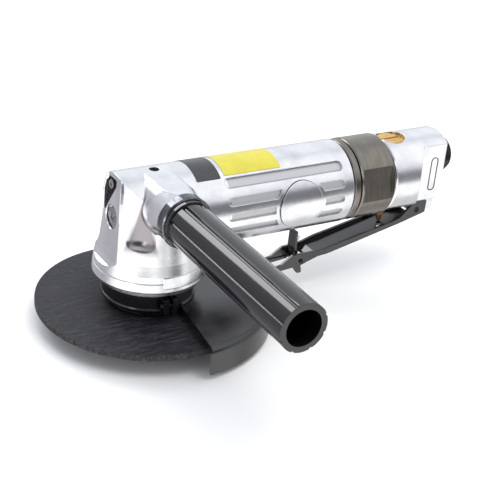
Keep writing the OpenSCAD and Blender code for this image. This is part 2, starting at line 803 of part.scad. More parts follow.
module valve_plug() {
    at_axis() color("goldenrod") translate([valve_x, 0, 0]) difference() {
        union() {
            z_cyl(plug_bottom, plug_head_z - 1.6, plug_thread_r);
            z_cyl(plug_head_z - 1.6, plug_head_z, plug_d / 2);
            z_cyl(plug_head_z, plug_head_z + 0.5, plug_d / 2 - 0.7);
        }
        z_cyl(plug_head_z - 0.5, plug_head_z + 2, 0.8);
        z_cyl(plug_bottom - 1, plug_bottom + 3, 3.2);
        translate([-plug_d / 2 + 2, -0.6, plug_head_z - 0.4]) cube([plug_d - 4, 1.2, 3]);
    }
}

module plug_seal() {
    at_axis() color("black") translate([valve_x, 0, 0])
        z_ring(plug_head_z - 2.6, plug_head_z - 1.6, plug_d / 2 - 0.1, plug_thread_r + 0.1);
}

module valve_seat() {
    at_axis() color("goldenrod") translate([valve_x, 0, 0])
        z_ring(seat_z - seat_h, seat_z, chamber_valve_r, seat_bore_r);
}

module stem_bushing() {
    at_axis() color("goldenrod") translate([valve_x, 0, 0])
        z_ring(bushing_bottom, seat_z - seat_h - 6, bushing_r, stem_d / 2 + run_gap);
}

// An open coil about Z, as one tube of six sides
module coil(z0, z1, r, wire, turns, steps) {
    n = turns * steps;
    sides = 6;
    function height(i) = z0 + wire + (z1 - z0 - 2 * wire) * i / n;
    points = [for (i = [0 : n]) for (k = [0 : sides - 1])
        let (a = i * 360 / steps, b = k * 360 / sides, q = r + wire * cos(b))
            [q * cos(a), q * sin(a), height(i) + wire * sin(b)]];
    rings = [for (i = [0 : n - 1]) for (k = [0 : sides - 1])
        let (a = i * sides + k, b = i * sides + (k + 1) % sides)
            each [[a, b, b + sides], [a, b + sides, a + sides]]];
    start = [for (k = [1 : sides - 2]) [0, k + 1, k]];
    end = [for (k = [1 : sides - 2]) [n * sides, n * sides + k, n * sides + k + 1]];
    polyhedron(points = points, faces = concat(rings, start, end));
}

module valve_spring() {
    at_axis() color("lightgray") translate([valve_x, 0, 0])
        coil(seat_z + poppet_h, plug_bottom + 2.8, 2.6, 0.35, 6, 12);
}

module inlet_bushing() {
    start = inlet_seat + 0.5;
    flange_x = inlet_face;
    thread_end = inlet_end - inlet_depth;
    at_axis() color("dimgray") translate([0, 0, inlet_rise]) difference() {
        union() {
            x_cyl(start, flange_x + 1, inlet_thread_r);
            intersection() {
                translate([flange_x, 0, 0]) rotate([0, 90, 0]) rotate([0, 0, 30])
                    cylinder(h = inlet_end - flange_x, d = inlet_flats / cos(30), $fn = 6);
                x_revolve([[flange_x, 0], [flange_x, inlet_flats / 2 + 1], [inlet_end - 1.5, inlet_flats / 2 + 1],
                    [inlet_end, inlet_flats / 2 - 0.4], [inlet_end, 0]]);
            }
        }
        x_cyl(thread_end, inlet_end + 1, inlet_bore_d / 2);
        x_cyl(thread_end - strainer_seat, thread_end + 1, strainer_r + seat_gap);
        x_cyl(start - 1, inlet_end, inlet_bore_d / 2 - 1.4);
    }
}

strainer_r = inlet_bore_d / 2 - 0.6;
strainer_seat = 1.4;

module inlet_strainer() {
    x0 = inlet_end - inlet_depth - strainer_seat;
    at_axis() color("khaki") translate([0, 0, inlet_rise]) difference() {
        x_revolve([[x0, 0], [x0, strainer_r], [x0 + 1, strainer_r], [x0 + 1, 3.4], [x0 + 0.2, 2.9], [x0 + 0.2, 0]]);
        x_revolve([[x0 - 1, 0], [x0 - 1, 3.2], [x0 + 0.1, 2.6], [x0 + 0.1, 0]]);
    }
}

module lever_pin() {
    half = lever_w / 2 - 0.2;
    at_axis() color("gray") translate([pivot_x, half, -pivot_drop]) rotate([90, 0, 0])
        cylinder(h = 2 * half, r = pivot_d / 2);
}

module handle_collar() {
    at_axis() color("silver") translate([0, 0, handle_rise]) rotate([90, 0, 0]) difference() {
        union() {
            translate([0, 0, boss_end]) cylinder(h = collar_len - 0.6, r = collar_d / 2);
            translate([0, 0, boss_end + collar_len - 0.6])
                cylinder(h = 0.6, r1 = collar_d / 2, r2 = collar_d / 2 - 0.6);
        }
        cylinder(h = 60, r = handle_thread_d / 2 + 0.1);
    }
}

collar_neck = 2.5;
handle_start = boss_end + collar_len + collar_neck;
handle_floor = 6;

module side_handle() {
    at_axis() color("black") translate([0, 0, handle_rise]) rotate([90, 0, 0]) difference() {
        union() {
            translate([0, 0, handle_start - collar_neck]) cylinder(h = collar_neck, r = handle_d / 2 + 0.8);
            translate([0, 0, handle_start]) cylinder(h = handle_end - handle_start, r = handle_d / 2);
        }
        translate([0, 0, handle_start + handle_floor]) cylinder(h = handle_end, r = handle_bore / 2);
        cylinder(h = far, r = handle_thread_d / 2 + 0.1);
        for (i = [0 : handle_grooves - 1])
            rotate([0, 0, (i + 0.5) * 360 / handle_grooves]) translate([handle_d / 2 + 0.35, 0, handle_start])
                cylinder(h = handle_end, r = 0.9);
    }
}

module handle_bolt() {
    head_y = handle_start + handle_floor;
    tip = 14;
    at_axis() color("gray") translate([0, 0, handle_rise]) rotate([90, 0, 0]) {
        translate([0, 0, tip]) cylinder(h = head_y - tip + 1, r = handle_thread_d / 2);
        translate([0, 0, head_y]) cylinder(h = 6, r = handle_bore / 2 - 0.8, $fn = 6);
    }
}

module spindle() {
    at_axis() color("gainsboro") difference() {
        union() {
            z_cyl(-axis_h, -axis_h + thread_out, thread_d / 2 - dog_step);
            z_cyl(-axis_h + thread_out, -flange_top, thread_d / 2);
            z_cyl(-flange_top, -bearing_bottom, spindle_d / 2);
            z_cyl(-bearing_bottom, -bearing_top, low_in);
            z_cyl(-bearing_top, -gear_hub_top, gear_seat_d / 2);
            z_cyl(-gear_hub_top, bush_bottom + bush_h - 1, spindle_top_d / 2);
        }
        translate([gear_seat_d / 2 - 1, -1.5 - seat_gap, -gear_hub_bottom + 0.8])
            cube([4, 3 + 2 * seat_gap, key_len + 2 * seat_gap]);
    }
}

key_len = 6;
dog_step = 0.4;

module gear_key() {
    at_axis() color("gray") translate([gear_seat_d / 2 - 1 + seat_gap, -1.5, -gear_hub_bottom + 0.8 + seat_gap])
        cube([2, 3, key_len]);
}

// Angle round the axis at which a spherical involute from a base cone crosses another cone
function involute(base, cone) =
    cone <= base ? 0 : acos(cos(cone) / cos(base)) / sin(base) - acos(tan(base) / tan(cone));

// One flank of a tooth, as cone angles and angles round the axis, from the root to the tip
function flank(cone, root, tip, half_tooth, steps) =
    let (base = asin(sin(cone) * cos(pressure_angle)), at_pitch = involute(base, cone),
        start = max(root, base))
        concat(root < base ? [[root, half_tooth + at_pitch + root_flare]] : [],
            [for (i = [0 : steps]) let (c = start + (tip - start) * i / steps)
                [c, half_tooth + at_pitch - involute(base, c)]]);

root_flare = 0.5;
crown_base = 3;

// The toothed crown of a bevel gear with its apex at the origin, opening downwards
module crown(teeth, cone, add, ded, half_tooth) {
    root = cone - atan(ded / cone_dist);
    side = flank(cone, root, cone + atan(add / cone_dist), half_tooth, 4);
    n = len(side);
    outline = [for (t = [0 : teeth - 1]) each concat(
        [for (i = [0 : n - 1]) [side[i][0], t * 360 / teeth - side[i][1]]],
        [for (i = [n - 1 : -1 : 0]) [side[i][0], t * 360 / teeth + side[i][1]]])];
    inner = [for (p = outline) [root - crown_base, p[1]]];
    function on_cone(p, dist) = dist / cos(p[0] - cone) *
        [sin(p[0]) * cos(p[1]), sin(p[0]) * sin(p[1]), -cos(p[0])];
    points = concat(
        [for (p = outline) on_cone(p, cone_dist)], [for (p = outline) on_cone(p, cone_dist - face_w)],
        [for (p = inner) on_cone(p, cone_dist - face_w)], [for (p = inner) on_cone(p, cone_dist)]);
    count = len(outline);
    faces = [for (r = [0 : 3]) for (i = [0 : count - 1])
        let (a = r * count + i, b = r * count + (i + 1) % count,
            c = (r + 1) % 4 * count + (i + 1) % count, d = (r + 1) % 4 * count + i)
            each [[a, d, c], [a, c, b]]];
    polyhedron(points = points, faces = faces);
}

gear_half = (tooth_module * (PI / 2 - 2 * shift * tan(pressure_angle)) - backlash / 2) / 2 / gear_r * 180 / PI;
pinion_half = (tooth_module * (PI / 2 + 2 * shift * tan(pressure_angle)) - backlash / 2) / 2 / pinion_r * 180 / PI;

// The turned body under a crown, with its hub
module gear_body(cone, ded, hub_r, hub_z, top_r, top_z) {
    root = cone - atan(ded / cone_dist) - crown_base / 2;
    heel = cone_dist * 0.975 * [sin(root), -cos(root)];
    toe = (cone_dist - face_w + 0.5) * [sin(root), -cos(root)];
    low = [cone_dist * sin(root) - 1.8, heel[1] - 1.6];
    rotate_extrude() polygon([[0, hub_z], [hub_r, hub_z], [max(hub_r, low[0] - 1.5), low[1]], low,
        heel, toe, [top_r, top_z], [0, top_z]]);
}

module bevel_gear() {
    ded = pinion_add + root_gap;
    bore_r = gear_seat_d / 2 + seat_gap;
    hub_r = gear_seat_d / 2 + 3.5;
    at_axis() color("slategray") difference() {
        union() {
            rotate([0, 0, 180 / gear_teeth]) crown(gear_teeth, gear_cone, gear_add, ded, gear_half);
            gear_body(gear_cone, ded, hub_r, -gear_hub_bottom, gear_seat_d / 2 + 2, -gear_hub_top);
        }
        z_cyl(-30, 5, bore_r);
        translate([0, -1.5 - seat_gap, -gear_hub_bottom - 1]) cube([bore_r + 1, 3 + 2 * seat_gap, 30]);
    }
}

module gear_ring() {
    at_axis() color("gray") z_ring(-gear_hub_top, -gear_hub_top + 1, spindle_top_d / 2 + 1.8, spindle_top_d / 2 + seat_gap);
}

module bevel_pinion() {
    ded = gear_add + root_gap;
    hub_r = shaft_d / 2 + 2.6;
    at_axis() color("slategray") rotate([0, -90, 0]) rotate([0, 0, pinion_phase]) difference() {
        union() {
            crown(pinion_teeth, pinion_cone, pinion_add, ded, pinion_half);
            gear_body(pinion_cone, ded, hub_r, -pinion_back, shaft_d / 2, -pinion_front);
        }
        z_cyl(-30, 5, shaft_d / 2 - 1 + seat_gap);
        translate([0, -1 - seat_gap, -30]) cube([shaft_d / 2 + seat_gap, 2 + 2 * seat_gap, 40]);
    }
}

pinion_phase = 180;
pinion_back = motor_front - 1;
pinion_front = 10.6;

module pinion_key() {
    at_axis() color("gray") rotate([0, -90, 0]) rotate([0, 0, pinion_phase])
        translate([shaft_d / 2 - 2 + seat_gap, -1, -pinion_back + 2]) cube([1.9, 2, 7]);
}

module inner_flange() {
    boss_r = wheel_bore_d / 2 - 0.1;
    at_axis() color("dimgray") difference() {
        union() {
            rotate_extrude() polygon([[0, -head_h], [flange_d / 2, -head_h], [flange_d / 2, -head_h + 1.6],
                [flange_d / 2 - 1.8, -flange_top], [0, -flange_top]]);
            z_cyl(-head_h - wheel_t * 0.6, -head_h, boss_r);
        }
        z_cyl(-far, far, thread_d / 2 + seat_gap);
    }
}

module grinding_wheel() {
    at_axis() color([0.25, 0.25, 0.25]) z_ring(-head_h - wheel_t, -head_h, wheel_d / 2, wheel_bore_d / 2);
}

module wheel_nut() {
    low = -axis_h + thread_out;
    at_axis() color("dimgray") difference() {
        union() {
            z_cyl(low + wheel_nut_t - 3, low + wheel_nut_t, wheel_nut_d / 2);
            z_cyl(low, low + wheel_nut_t - 3, wheel_nut_d / 2 - 5);
        }
        z_cyl(-far, far, thread_d / 2 + seat_gap);
        for (a = [0, 180]) rotate([0, 0, a]) translate([wheel_nut_d / 2 - 3.6, 0, 0]) z_cyl(-far, far, 2);
    }
}

rotor_start = liner_start + 0.15;
rotor_end = liner_end - 0.15;
vane_seat = rotor_d / 2 - vane_depth - 0.15;

module rotor() {
    at_axis() color("silver") difference() {
        union() {
            x_cyl(rotor_start, rotor_end, rotor_d / 2);
            x_cyl(pinion_back, rear_bearing_x + rotor_bearing_w, shaft_d / 2);
            x_cyl(pinion_front + 0.4, pinion_back, shaft_d / 2 - 1);
        }
        for (i = [0 : vane_count - 1])
            rotate([i * 360 / vane_count, 0, 0])
                translate([rotor_start - 1, -vane_t / 2 - 0.05, vane_seat])
                    cube([rotor_len + 2, vane_t + 0.1, vane_depth + 2]);
        rotate([0, -90, 0]) rotate([0, 0, pinion_phase])
            translate([shaft_d / 2 - 2, -1 - seat_gap, -pinion_back + 2 - seat_gap])
                cube([3, 2 + 2 * seat_gap, 7 + 2 * seat_gap]);
    }
}

module rotor_vanes() {
    at_axis() color("saddlebrown")
        for (i = [0 : vane_count - 1])
            rotate([i * 360 / vane_count, 0, 0])
                translate([rotor_start + 0.1, -vane_t / 2, vane_seat + 0.05])
                    cube([rotor_end - rotor_start - 0.2, vane_t, vane_depth]);
}

// Plan of the guard: the rear half, with both edges drawn in a little
module guard_plan() {
    polygon([[9, 0], [9, -12], [-1.2, -far / 2], [far, -far / 2], [far, far / 2], [-1.2, far / 2], [9, 12]]);
}

guard_hole_r = flange_d / 2 + 0.8;

module guard() {
    r = guard_d / 2;
    top = -guard_top;
    at_axis() color([0.3, 0.3, 0.3]) intersection() {
        rotate_extrude() difference() {
            union() {
                translate([guard_hole_r, top - guard_t]) square([r - guard_bend - guard_hole_r, guard_t]);
                translate([r - guard_t, top - guard_h]) square([guard_t, guard_h - guard_bend]);
                translate([r - guard_bend, top - guard_bend]) intersection() {
                    circle(r = guard_bend);
                    square(guard_bend);
                }
            }
            translate([r - guard_bend, top - guard_bend]) circle(r = guard_bend - guard_t);
        }
        translate([0, 0, -far]) linear_extrude(2 * far) guard_plan();
    }
}

// The band's split and ears stand beside the guard's near edge
ear_angle = 268;
ear_out = 4.4;
ear_t = 2.6;
band_screw_r = 1.25;
ear_gap = 2.2;
ear_z = -(guard_top + band_top) / 2;

module at_ears() { rotate([0, 0, ear_angle]) translate([neck_r + band_t + ear_out / 2, 0, ear_z]) children(); }

module guard_band() {
    r_in = neck_r + run_gap;
    at_axis() color([0.2, 0.2, 0.2]) difference() {
        union() {
            z_ring(-guard_top, -band_top, neck_r + band_t, r_in);
            difference() {
                at_ears() translate([-ear_out / 2 - 1, -ear_gap / 2 - ear_t, (band_top - guard_top) / 2 + 0.4])
                    cube([ear_out + 1, 2 * ear_t + ear_gap, guard_top - band_top - 0.8]);
                z_cyl(-far, far, neck_r + band_t / 2);
            }
        }
        at_ears() translate([-ear_out, -ear_gap / 2, -20]) cube([2 * ear_out, ear_gap, 40]);
        at_ears() rotate([90, 0, 0]) translate([0, 0, -20]) cylinder(h = 40, r = band_screw_r + seat_gap);
    }
}

module band_screw() {
    at_axis() color("dimgray") at_ears() rotate([0, 0, 90])
        translate([-ear_gap / 2 - ear_t - 1.8, 0, 0]) cap_screw(band_screw_r + 0.9, 1.8, band_screw_r, 2 * ear_t + ear_gap + 4.6);
}

module band_nut() {
    at_axis() color("dimgray") at_ears() rotate([0, 0, 90]) translate([ear_gap / 2 + ear_t, 0, 0])
        difference() {
            rotate([0, 90, 0]) cylinder(h = 2, r = band_screw_r + 1.1, $fn = 6);
            x_cyl(-1, 5, band_screw_r + seat_gap);
        }
}

// Side outline of the lever: its lower edge from the rear to the tip, then back along the flanges
module cheek_plan() {
    polygon([
        [lever_back - 0.2, -pivot_drop - 2.3], [web_back, -web_back_drop], [web_mid, -web_mid_drop],
        [web_step, -web_step_drop], [web_low, -web_low_drop], [lever_tip + 2, -web_tip_drop],
        [lever_tip, -web_tip_drop + 1], [lever_tip, -web_tip_drop + 2], [web_low - 12.5, -web_low_drop + 2.3],
        [web_low - 5.6, -web_low_drop + 7], [web_low + 3.6, -web_low_drop + 7.2],
        [web_step - 1, -web_step_drop + 3.2], [web_mid, -web_mid_drop + 3.8],
        [pivot_x - 16.2, -pivot_drop - 4.9], [pivot_x - 10.8, -pivot_drop - 3.2], [pivot_x - 3, -pivot_drop + 4.3],
        [pivot_x - 1, -pivot_drop + 6.2], [pivot_x + 4.8, -pivot_drop + 6.2], [lever_back, -pivot_drop + 4.6]
    ]);
}

// Plan of the lever, drawn in by an inset: full width behind, narrower at the tip
module lever_plan(inset) {
    wide = lever_w / 2 - inset;
    slim = lever_tip_w / 2 - inset;
    front = lever_tip + inset;
    side = [[lever_back + 5, wide], [web_step + 5, wide], [web_step + 1, slim + (wide - slim) * 0.75],
        [web_low + 5, slim + (wide - slim) * 0.3], [web_low, slim], [front + 2, slim], [front, slim - 2]];
    n = len(side);
    polygon(concat(side, [for (i = [n - 1 : -1 : 0]) [side[i][0], -side[i][1]]]));
}

// The sheet of the lever's web, as a band above its lower edge
module web_plan() {
    intersection() {
        cheek_plan();
        polygon([
            [web_end, -web_back_drop - 0.1 + web_rise], [web_back, -web_back_drop - 0.1],
            [web_mid, -web_mid_drop - 0.1], [web_step, -web_step_drop - 0.1],
            [web_low, -web_low_drop - 0.1], [lever_tip + 2, -web_tip_drop - 0.1], [lever_tip, -web_tip_drop + 0.9],
            [lever_tip, -web_tip_drop + lever_t + 0.9],
            [web_low, -web_low_drop + lever_t], [web_step - 0.6, -web_step_drop + lever_t],
            [web_mid, -web_mid_drop + lever_t], [web_back, -web_back_drop + lever_t],
            [web_end, -web_back_drop + lever_t + web_rise]
        ]);
    }
}

web_rise = 0.25 * (web_end - web_back);

module throttle_lever() {
    slot_r = catch_w / 2 + slide_gap;
    slot_front = catch_x - catch_up - 1.7;
    slot_back = catch_x + 5.4;
    notch = lever_tip_w / 2 - lever_t + 0.1;
    at_axis() color([0.1, 0.1, 0.1]) difference() {
        intersection() {
            translate([0, 50, 0]) rotate([90, 0, 0]) linear_extrude(100) cheek_plan();
            translate([0, 0, -60]) linear_extrude(60) lever_plan(0);
        }
        // The channel above the web, and the open rear between the cheeks
        difference() {
            translate([0, 0, -60]) linear_extrude(60) lever_plan(lever_t);
            translate([0, 50, 0]) rotate([90, 0, 0]) linear_extrude(100) web_plan();
        }
        // Slot that the safety catch swings in
        translate([0, 0, -60]) linear_extrude(60) {
            rounded([[slot_front + slot_r, 0], [slot_back - slot_r, 0]], slot_r, 12);
            translate([catch_x, -slot_r]) square([slot_back - catch_x, 2 * slot_r]);
            translate([catch_x - 2.4, -notch]) square([4.8, 2 * notch]);
        }
        translate([valve_x - 2, -4.5, 0]) z_cyl(-60, -20, 2.1);
        translate([pivot_x, 20, -pivot_drop]) rotate([90, 0, 0]) cylinder(h = 40, r = pivot_d / 2 + run_gap);
        translate([catch_x, 20, -catch_drop]) rotate([90, 0, 0]) cylinder(h = 40, r = catch_pin_d / 2 + seat_gap);
    }
}

module catch_pin() {
    half = lever_tip_w / 2 + 0.5;
    at_axis() color("gray") translate([catch_x, half, -catch_drop]) rotate([90, 0, 0])
        cylinder(h = 2 * half, r = catch_pin_d / 2);
}

module safety_catch() {
    t = catch_t / 2;
    end_r = catch_w / 2;
    at_axis() color([0.15, 0.15, 0.15]) translate([catch_x, 0, -catch_drop]) difference() {
        union() {
            intersection() {
                // Bent strip seen from the side: upright above the pin, leaning back below it
                translate([0, 20, 0]) rotate([90, 0, 0]) linear_extrude(40)
                    polygon([[-catch_bend - t, catch_up], [-catch_bend - t, 5.6], [-t, -1], [3 - t, -catch_down - 1],
                        [3 + t, -catch_down - 1], [t, 0], [t - catch_bend, 6], [t - catch_bend, catch_up]]);
                // The same strip seen from the front, with a round foot
                translate([-20, 0, 0]) rotate([90, 0, 90]) linear_extrude(40) union() {
                    rounded([[0, end_r - catch_down], [0, 0]], end_r, 12);
                    rounded([[0.6 - end_r, 0], [end_r - 0.6, 0], [end_r - 1.2, catch_up - 0.6],
                        [1.2 - end_r, catch_up - 0.6]], 0.6, 4);
                }
            }
            translate([0, catch_w / 2, 0]) rotate([90, 0, 0]) cylinder(h = catch_w, r = catch_pin_d / 2 + 1);
        }
        translate([0, 20, 0]) rotate([90, 0, 0]) cylinder(h = 40, r = catch_pin_d / 2 + run_gap);
    }
}

module catch_spring() {
    side = catch_w / 2 + 0.1;
    at_axis() color("lightgray") translate([catch_x, side, -catch_drop]) rotate([-90, 0, 0])
        coil(0, (lever_tip_w - catch_w) / 2 - lever_t - 0.3, catch_pin_d / 2 + 0.4, 0.2, 1, 12);
}

module valve_stem() {
    at_axis() color("gainsboro") translate([valve_x, 0, 0]) {
        z_cyl(-stem_tip + stem_d / 2, seat_z + poppet_h / 2, stem_d / 2);
        translate([0, 0, -stem_tip + stem_d / 2]) sphere(r = stem_d / 2);
    }
}

module valve_poppet() {
    at_axis() color("black") translate([valve_x, 0, 0]) difference() {
        rotate_extrude() polygon([[0, seat_z + 0.05], [seat_bore_r + 1.4, seat_z + 0.05],
            [seat_bore_r + 1.4, seat_z + poppet_h - 0.8], [2, seat_z + poppet_h - 0.1], [0, seat_z + poppet_h - 0.1]]);
        z_cyl(-40, seat_z + poppet_h / 2 + seat_gap, stem_d / 2 + seat_gap);
    }
}

main_housing();
exhaust_plate();
exhaust_screw();
front_plug();
bearing_cap();
cap_screws();
upper_bush();
lower_bearing_outer();
lower_bearing_balls();
seal_ring();
motor_cylinder();
front_end_plate();
rear_end_plate();
dowel_pins();
front_bearing_outer();
front_bearing_balls();
rear_bearing_outer();
rear_bearing_balls();
motor_spacer();
index_ring();
joint_seal();
clamp_nut();
valve_housing();
valve_plug();
plug_seal();
valve_seat();
stem_bushing();
valve_spring();
inlet_bushing();
inlet_strainer();
lever_pin();
handle_collar();
handle_bolt();
side_handle();
spindle();
lower_bearing_inner();
bevel_gear();
gear_key();
gear_ring();
inner_flange();
grinding_wheel();
wheel_nut();
rotor();
rotor_vanes();
bevel_pinion();
pinion_key();
front_bearing_inner();
rear_bearing_inner();
guard();
guard_band();
band_screw();
band_nut();
throttle_lever();
catch_pin();
safety_catch();
catch_spring();
valve_stem();
valve_poppet();
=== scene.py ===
import bpy
import json
import math
from mathutils import Matrix, Vector


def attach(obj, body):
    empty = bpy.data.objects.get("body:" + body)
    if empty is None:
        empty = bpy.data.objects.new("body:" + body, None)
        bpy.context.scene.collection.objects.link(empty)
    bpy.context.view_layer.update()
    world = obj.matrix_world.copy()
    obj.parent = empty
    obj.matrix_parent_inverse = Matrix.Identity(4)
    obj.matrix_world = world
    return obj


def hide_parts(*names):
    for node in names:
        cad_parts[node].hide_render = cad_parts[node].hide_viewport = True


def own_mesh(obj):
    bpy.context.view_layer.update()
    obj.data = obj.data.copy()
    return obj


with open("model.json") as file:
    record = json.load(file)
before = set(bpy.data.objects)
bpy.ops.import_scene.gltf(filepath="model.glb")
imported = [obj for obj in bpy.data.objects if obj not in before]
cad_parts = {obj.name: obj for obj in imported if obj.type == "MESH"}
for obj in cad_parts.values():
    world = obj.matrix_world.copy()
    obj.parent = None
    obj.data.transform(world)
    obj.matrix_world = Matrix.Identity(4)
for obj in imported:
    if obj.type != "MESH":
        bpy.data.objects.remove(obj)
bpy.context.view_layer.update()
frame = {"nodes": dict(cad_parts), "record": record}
print("frame loaded:", len(frame["nodes"]), "nodes")

mm = 0.001
axisHeight = 0.0625   # the motor's axis stands this high over the spindle's end


# Studio and camera

studio = {
    "floorColour": "FBFBFA", "floorSize": 40.0,
    "floorRough": 0.9, "floorSpecular": 0.1,
    "skyColour": "EEF4FF",                             # pale and slightly blue overhead
    "horizonColour": "F2F2F2",
    "skyFade": (0.05, 0.75),                           # how high it begins and ends turning to sky
    "skyStrength": 0.84,
    "backdropColour": "F2F4F6", "backdropGain": 1.2,   # what is seen past the floor's edge
}
# What polished metal mirrors: towards, colour, gain, and the cosines between which it fades in
roomSides = {
    "unlitFloorBehind": ((-0.62, 0.72, -0.3), "CFCDD4", 1.0, (0.55, 0.9)),
    "brightFloorInFront": ((-0.7, -0.5, -0.52), "FFFFFF", 2.1, (0.5, 0.9)),
    "brightFloorOnTheRight": ((0.46, -0.73, -0.52), "FFFFFF", 1.6, (0.82, 0.98)),
    "dimHorizonOnTheRight": ((0.48, -0.87, 0.0), "85858A", 1.0, (0.93, 0.99)),
    "brightCeiling": ((0.3, -0.35, 0.89), "FBFCFF", 1.45, (0.62, 0.93)),
    "skyBehind": ((0.46, 0.75, 0.47), "F2F5FB", 1.35, (0.82, 0.97)),
    "dimSideOfTheCamera": ((-0.52, -0.72, 0.4), "77767C", 1.0, (0.76, 0.97)),
}

cameraSettings = {
    "place": (-0.26087, -0.49469, 0.33203),
    "yaw": 33.01,                    # degrees to the right of +Y
    "pitch": 27.22,                  # degrees down
    "roll": 5.59,
    "lens": 89.18, "sensor": 36,     # mm
    "nearest": 0.01,
}

areaLights = {
    "rearPanel": {"place": (-0.12, 0.95, 0.85), "aim": (0.02, -0.02, 0.06),
                  "size": (0.8, 0.45), "power": 5.0, "mirrored": True},
    "overheadPanel": {"place": (0.15, -0.35, 1.15), "aim": (0.05, 0.0, 0.06),
                      "size": (0.9, 0.6), "power": 5.5, "mirrored": False},
    "frontPanel": {"place": (-0.95, -0.55, 0.35), "aim": (0.0, 0.0, 0.05),
                   "size": (0.25, 0.8), "power": 1.6, "mirrored": True},
}


def linearColour(hexText, gain=1.0):
    parts = [int(hexText[i:i + 2], 16) / 255 for i in (0, 2, 4)]
    linear = [p / 12.92 if p <= 0.04045 else ((p + 0.055) / 1.055) ** 2.4 for p in parts]
    return tuple(channel * gain for channel in linear) + (1.0,)


def addNode(owner, kind, settings=None, links=None):
    node = owner.node_tree.nodes.new(kind)
    for key, value in (settings or {}).items():
        if isinstance(key, int) or key in node.inputs:
            node.inputs[key].default_value = value
        else:
            setattr(node, key, value)
    for key, source in (links or {}).items():
        owner.node_tree.links.new(source, node.inputs[key])
    return node


def makeCamera():
    s = cameraSettings
    yaw, pitch, roll = (math.radians(s[turn]) for turn in ("yaw", "pitch", "roll"))
    forward = Vector((math.sin(yaw) * math.cos(pitch), math.cos(yaw) * math.cos(pitch),
                      -math.sin(pitch)))
    right = Vector((math.cos(yaw), -math.sin(yaw), 0.0))
    up = right.cross(forward)
    rolledRight = right * math.cos(roll) + up * math.sin(roll)
    rolledUp = up * math.cos(roll) - right * math.sin(roll)
    data = bpy.data.cameras.new("camera")
    data.lens = s["lens"]
    data.sensor_width = s["sensor"]
    data.clip_start = s["nearest"]
    camera = bpy.data.objects.new("camera", data)
    bpy.context.scene.collection.objects.link(camera)
    turned = Matrix((rolledRight, rolledUp, -forward)).transposed().to_4x4()
    camera.matrix_world = Matrix.Translation(Vector(s["place"])) @ turned
    bpy.context.scene.camera = camera


def makeFloor():
    s = studio
    bpy.ops.object.select_all(action="DESELECT")
    bpy.ops.mesh.primitive_plane_add(size=s["floorSize"], location=(0, 0, 0))
    floor = bpy.context.active_object
    floor.name = "floor"
    material = bpy.data.materials.new("mattWhiteBoard")   # plain white, with next to no shine
    material.use_nodes = True
    shader = material.node_tree.nodes["Principled BSDF"]
    shader.inputs["Base Color"].default_value = linearColour(s["floorColour"])
    shader.inputs["Roughness"].default_value = s["floorRough"]
    shader.inputs["Specular IOR Level"].default_value = s["floorSpecular"]
    floor.data.materials.append(material)
    floor.visible_glossy = False   # the metal mirrors the room below instead


def makeRoom():
    s = studio
    world = bpy.data.worlds.new("studioRoom")
    world.use_nodes = True
    background = world.node_tree.nodes["Background"]
    direction = addNode(world, "ShaderNodeTexCoord").outputs["Generated"]
    split = addNode(world, "ShaderNodeSeparateXYZ", links={"Vector": direction})
    height = addNode(world, "ShaderNodeMapRange",
                     {"From Min": s["skyFade"][0], "From Max": s["skyFade"][1]},
                     {"Value": split.outputs["Z"]})
    room = addNode(world, "ShaderNodeMix",
                   {"data_type": "RGBA", 6: linearColour(s["horizonColour"]),
                    7: linearColour(s["skyColour"])}, {0: height.outputs[0]}).outputs[2]
    for side, colour, gain, fade in roomSides.values():
        towards = addNode(world, "ShaderNodeVectorMath",
                          {"operation": "DOT_PRODUCT", 1: Vector(side).normalized()},
                          {0: direction})
        amount = addNode(world, "ShaderNodeMapRange",
                         {"From Min": fade[0], "From Max": fade[1],
                          "interpolation_type": "SMOOTHSTEP"}, {"Value": towards.outputs["Value"]})
        room = addNode(world, "ShaderNodeMix",
                       {"data_type": "RGBA", 7: linearColour(colour, gain)},
                       {0: amount.outputs[0], 6: room}).outputs[2]
    seen = addNode(world, "ShaderNodeLightPath").outputs["Is Camera Ray"]
    backdrop = linearColour(s["backdropColour"], s["backdropGain"])
    shown = addNode(world, "ShaderNodeMix", {"data_type": "RGBA", 7: backdrop},
                    {0: seen, 6: room})
    world.node_tree.links.new(shown.outputs[2], background.inputs["Color"])
    background.inputs["Strength"].default_value = s["skyStrength"]
    bpy.context.scene.world = world
    bpy.context.scene.view_settings.view_transform = "Standard"


def makeLamps():
    for name, light in areaLights.items():
        data = bpy.data.lights.new(name, "AREA")
        data.shape = "RECTANGLE"
        data.size, data.size_y = light["size"]
        data.energy = light["power"]
        lamp = bpy.data.objects.new(name, data)
        bpy.context.scene.collection.objects.link(lamp)
        lamp.location = light["place"]
        lamp.visible_glossy = light["mirrored"]
        aim = Vector(light["aim"]) - Vector(light["place"])
        lamp.rotation_euler = aim.to_track_quat("-Z", "Y").to_euler()


makeCamera()
makeFloor()
makeRoom()
makeLamps()
print("camera and studio made")


# Materials. Patterns read Object coordinates in metres, so a noise scale of 1000 gives a detail
# of about 1 mm. A bump is a pair of strength and depth, and a fade is the pair of noise values
# between which one tone turns into the other.

def newMaterial(name, colour, metallic, roughness, specular=None):
    material = bpy.data.materials.new(name)
    material.use_nodes = True
    shader = material.node_tree.nodes["Principled BSDF"]
    shader.inputs["Base Color"].default_value = linearColour(colour)
    shader.inputs["Metallic"].default_value = metallic
    shader.inputs["Roughness"].default_value = roughness
    if specular is not None:
        shader.inputs["Specular IOR Level"].default_value = specular
    return material, shader


def connect(material, shader, colour, roughness, normal):
    for socket, source in (("Base Color", colour), ("Roughness", roughness), ("Normal", normal)):
        material.node_tree.links.new(source, shader.inputs[socket])


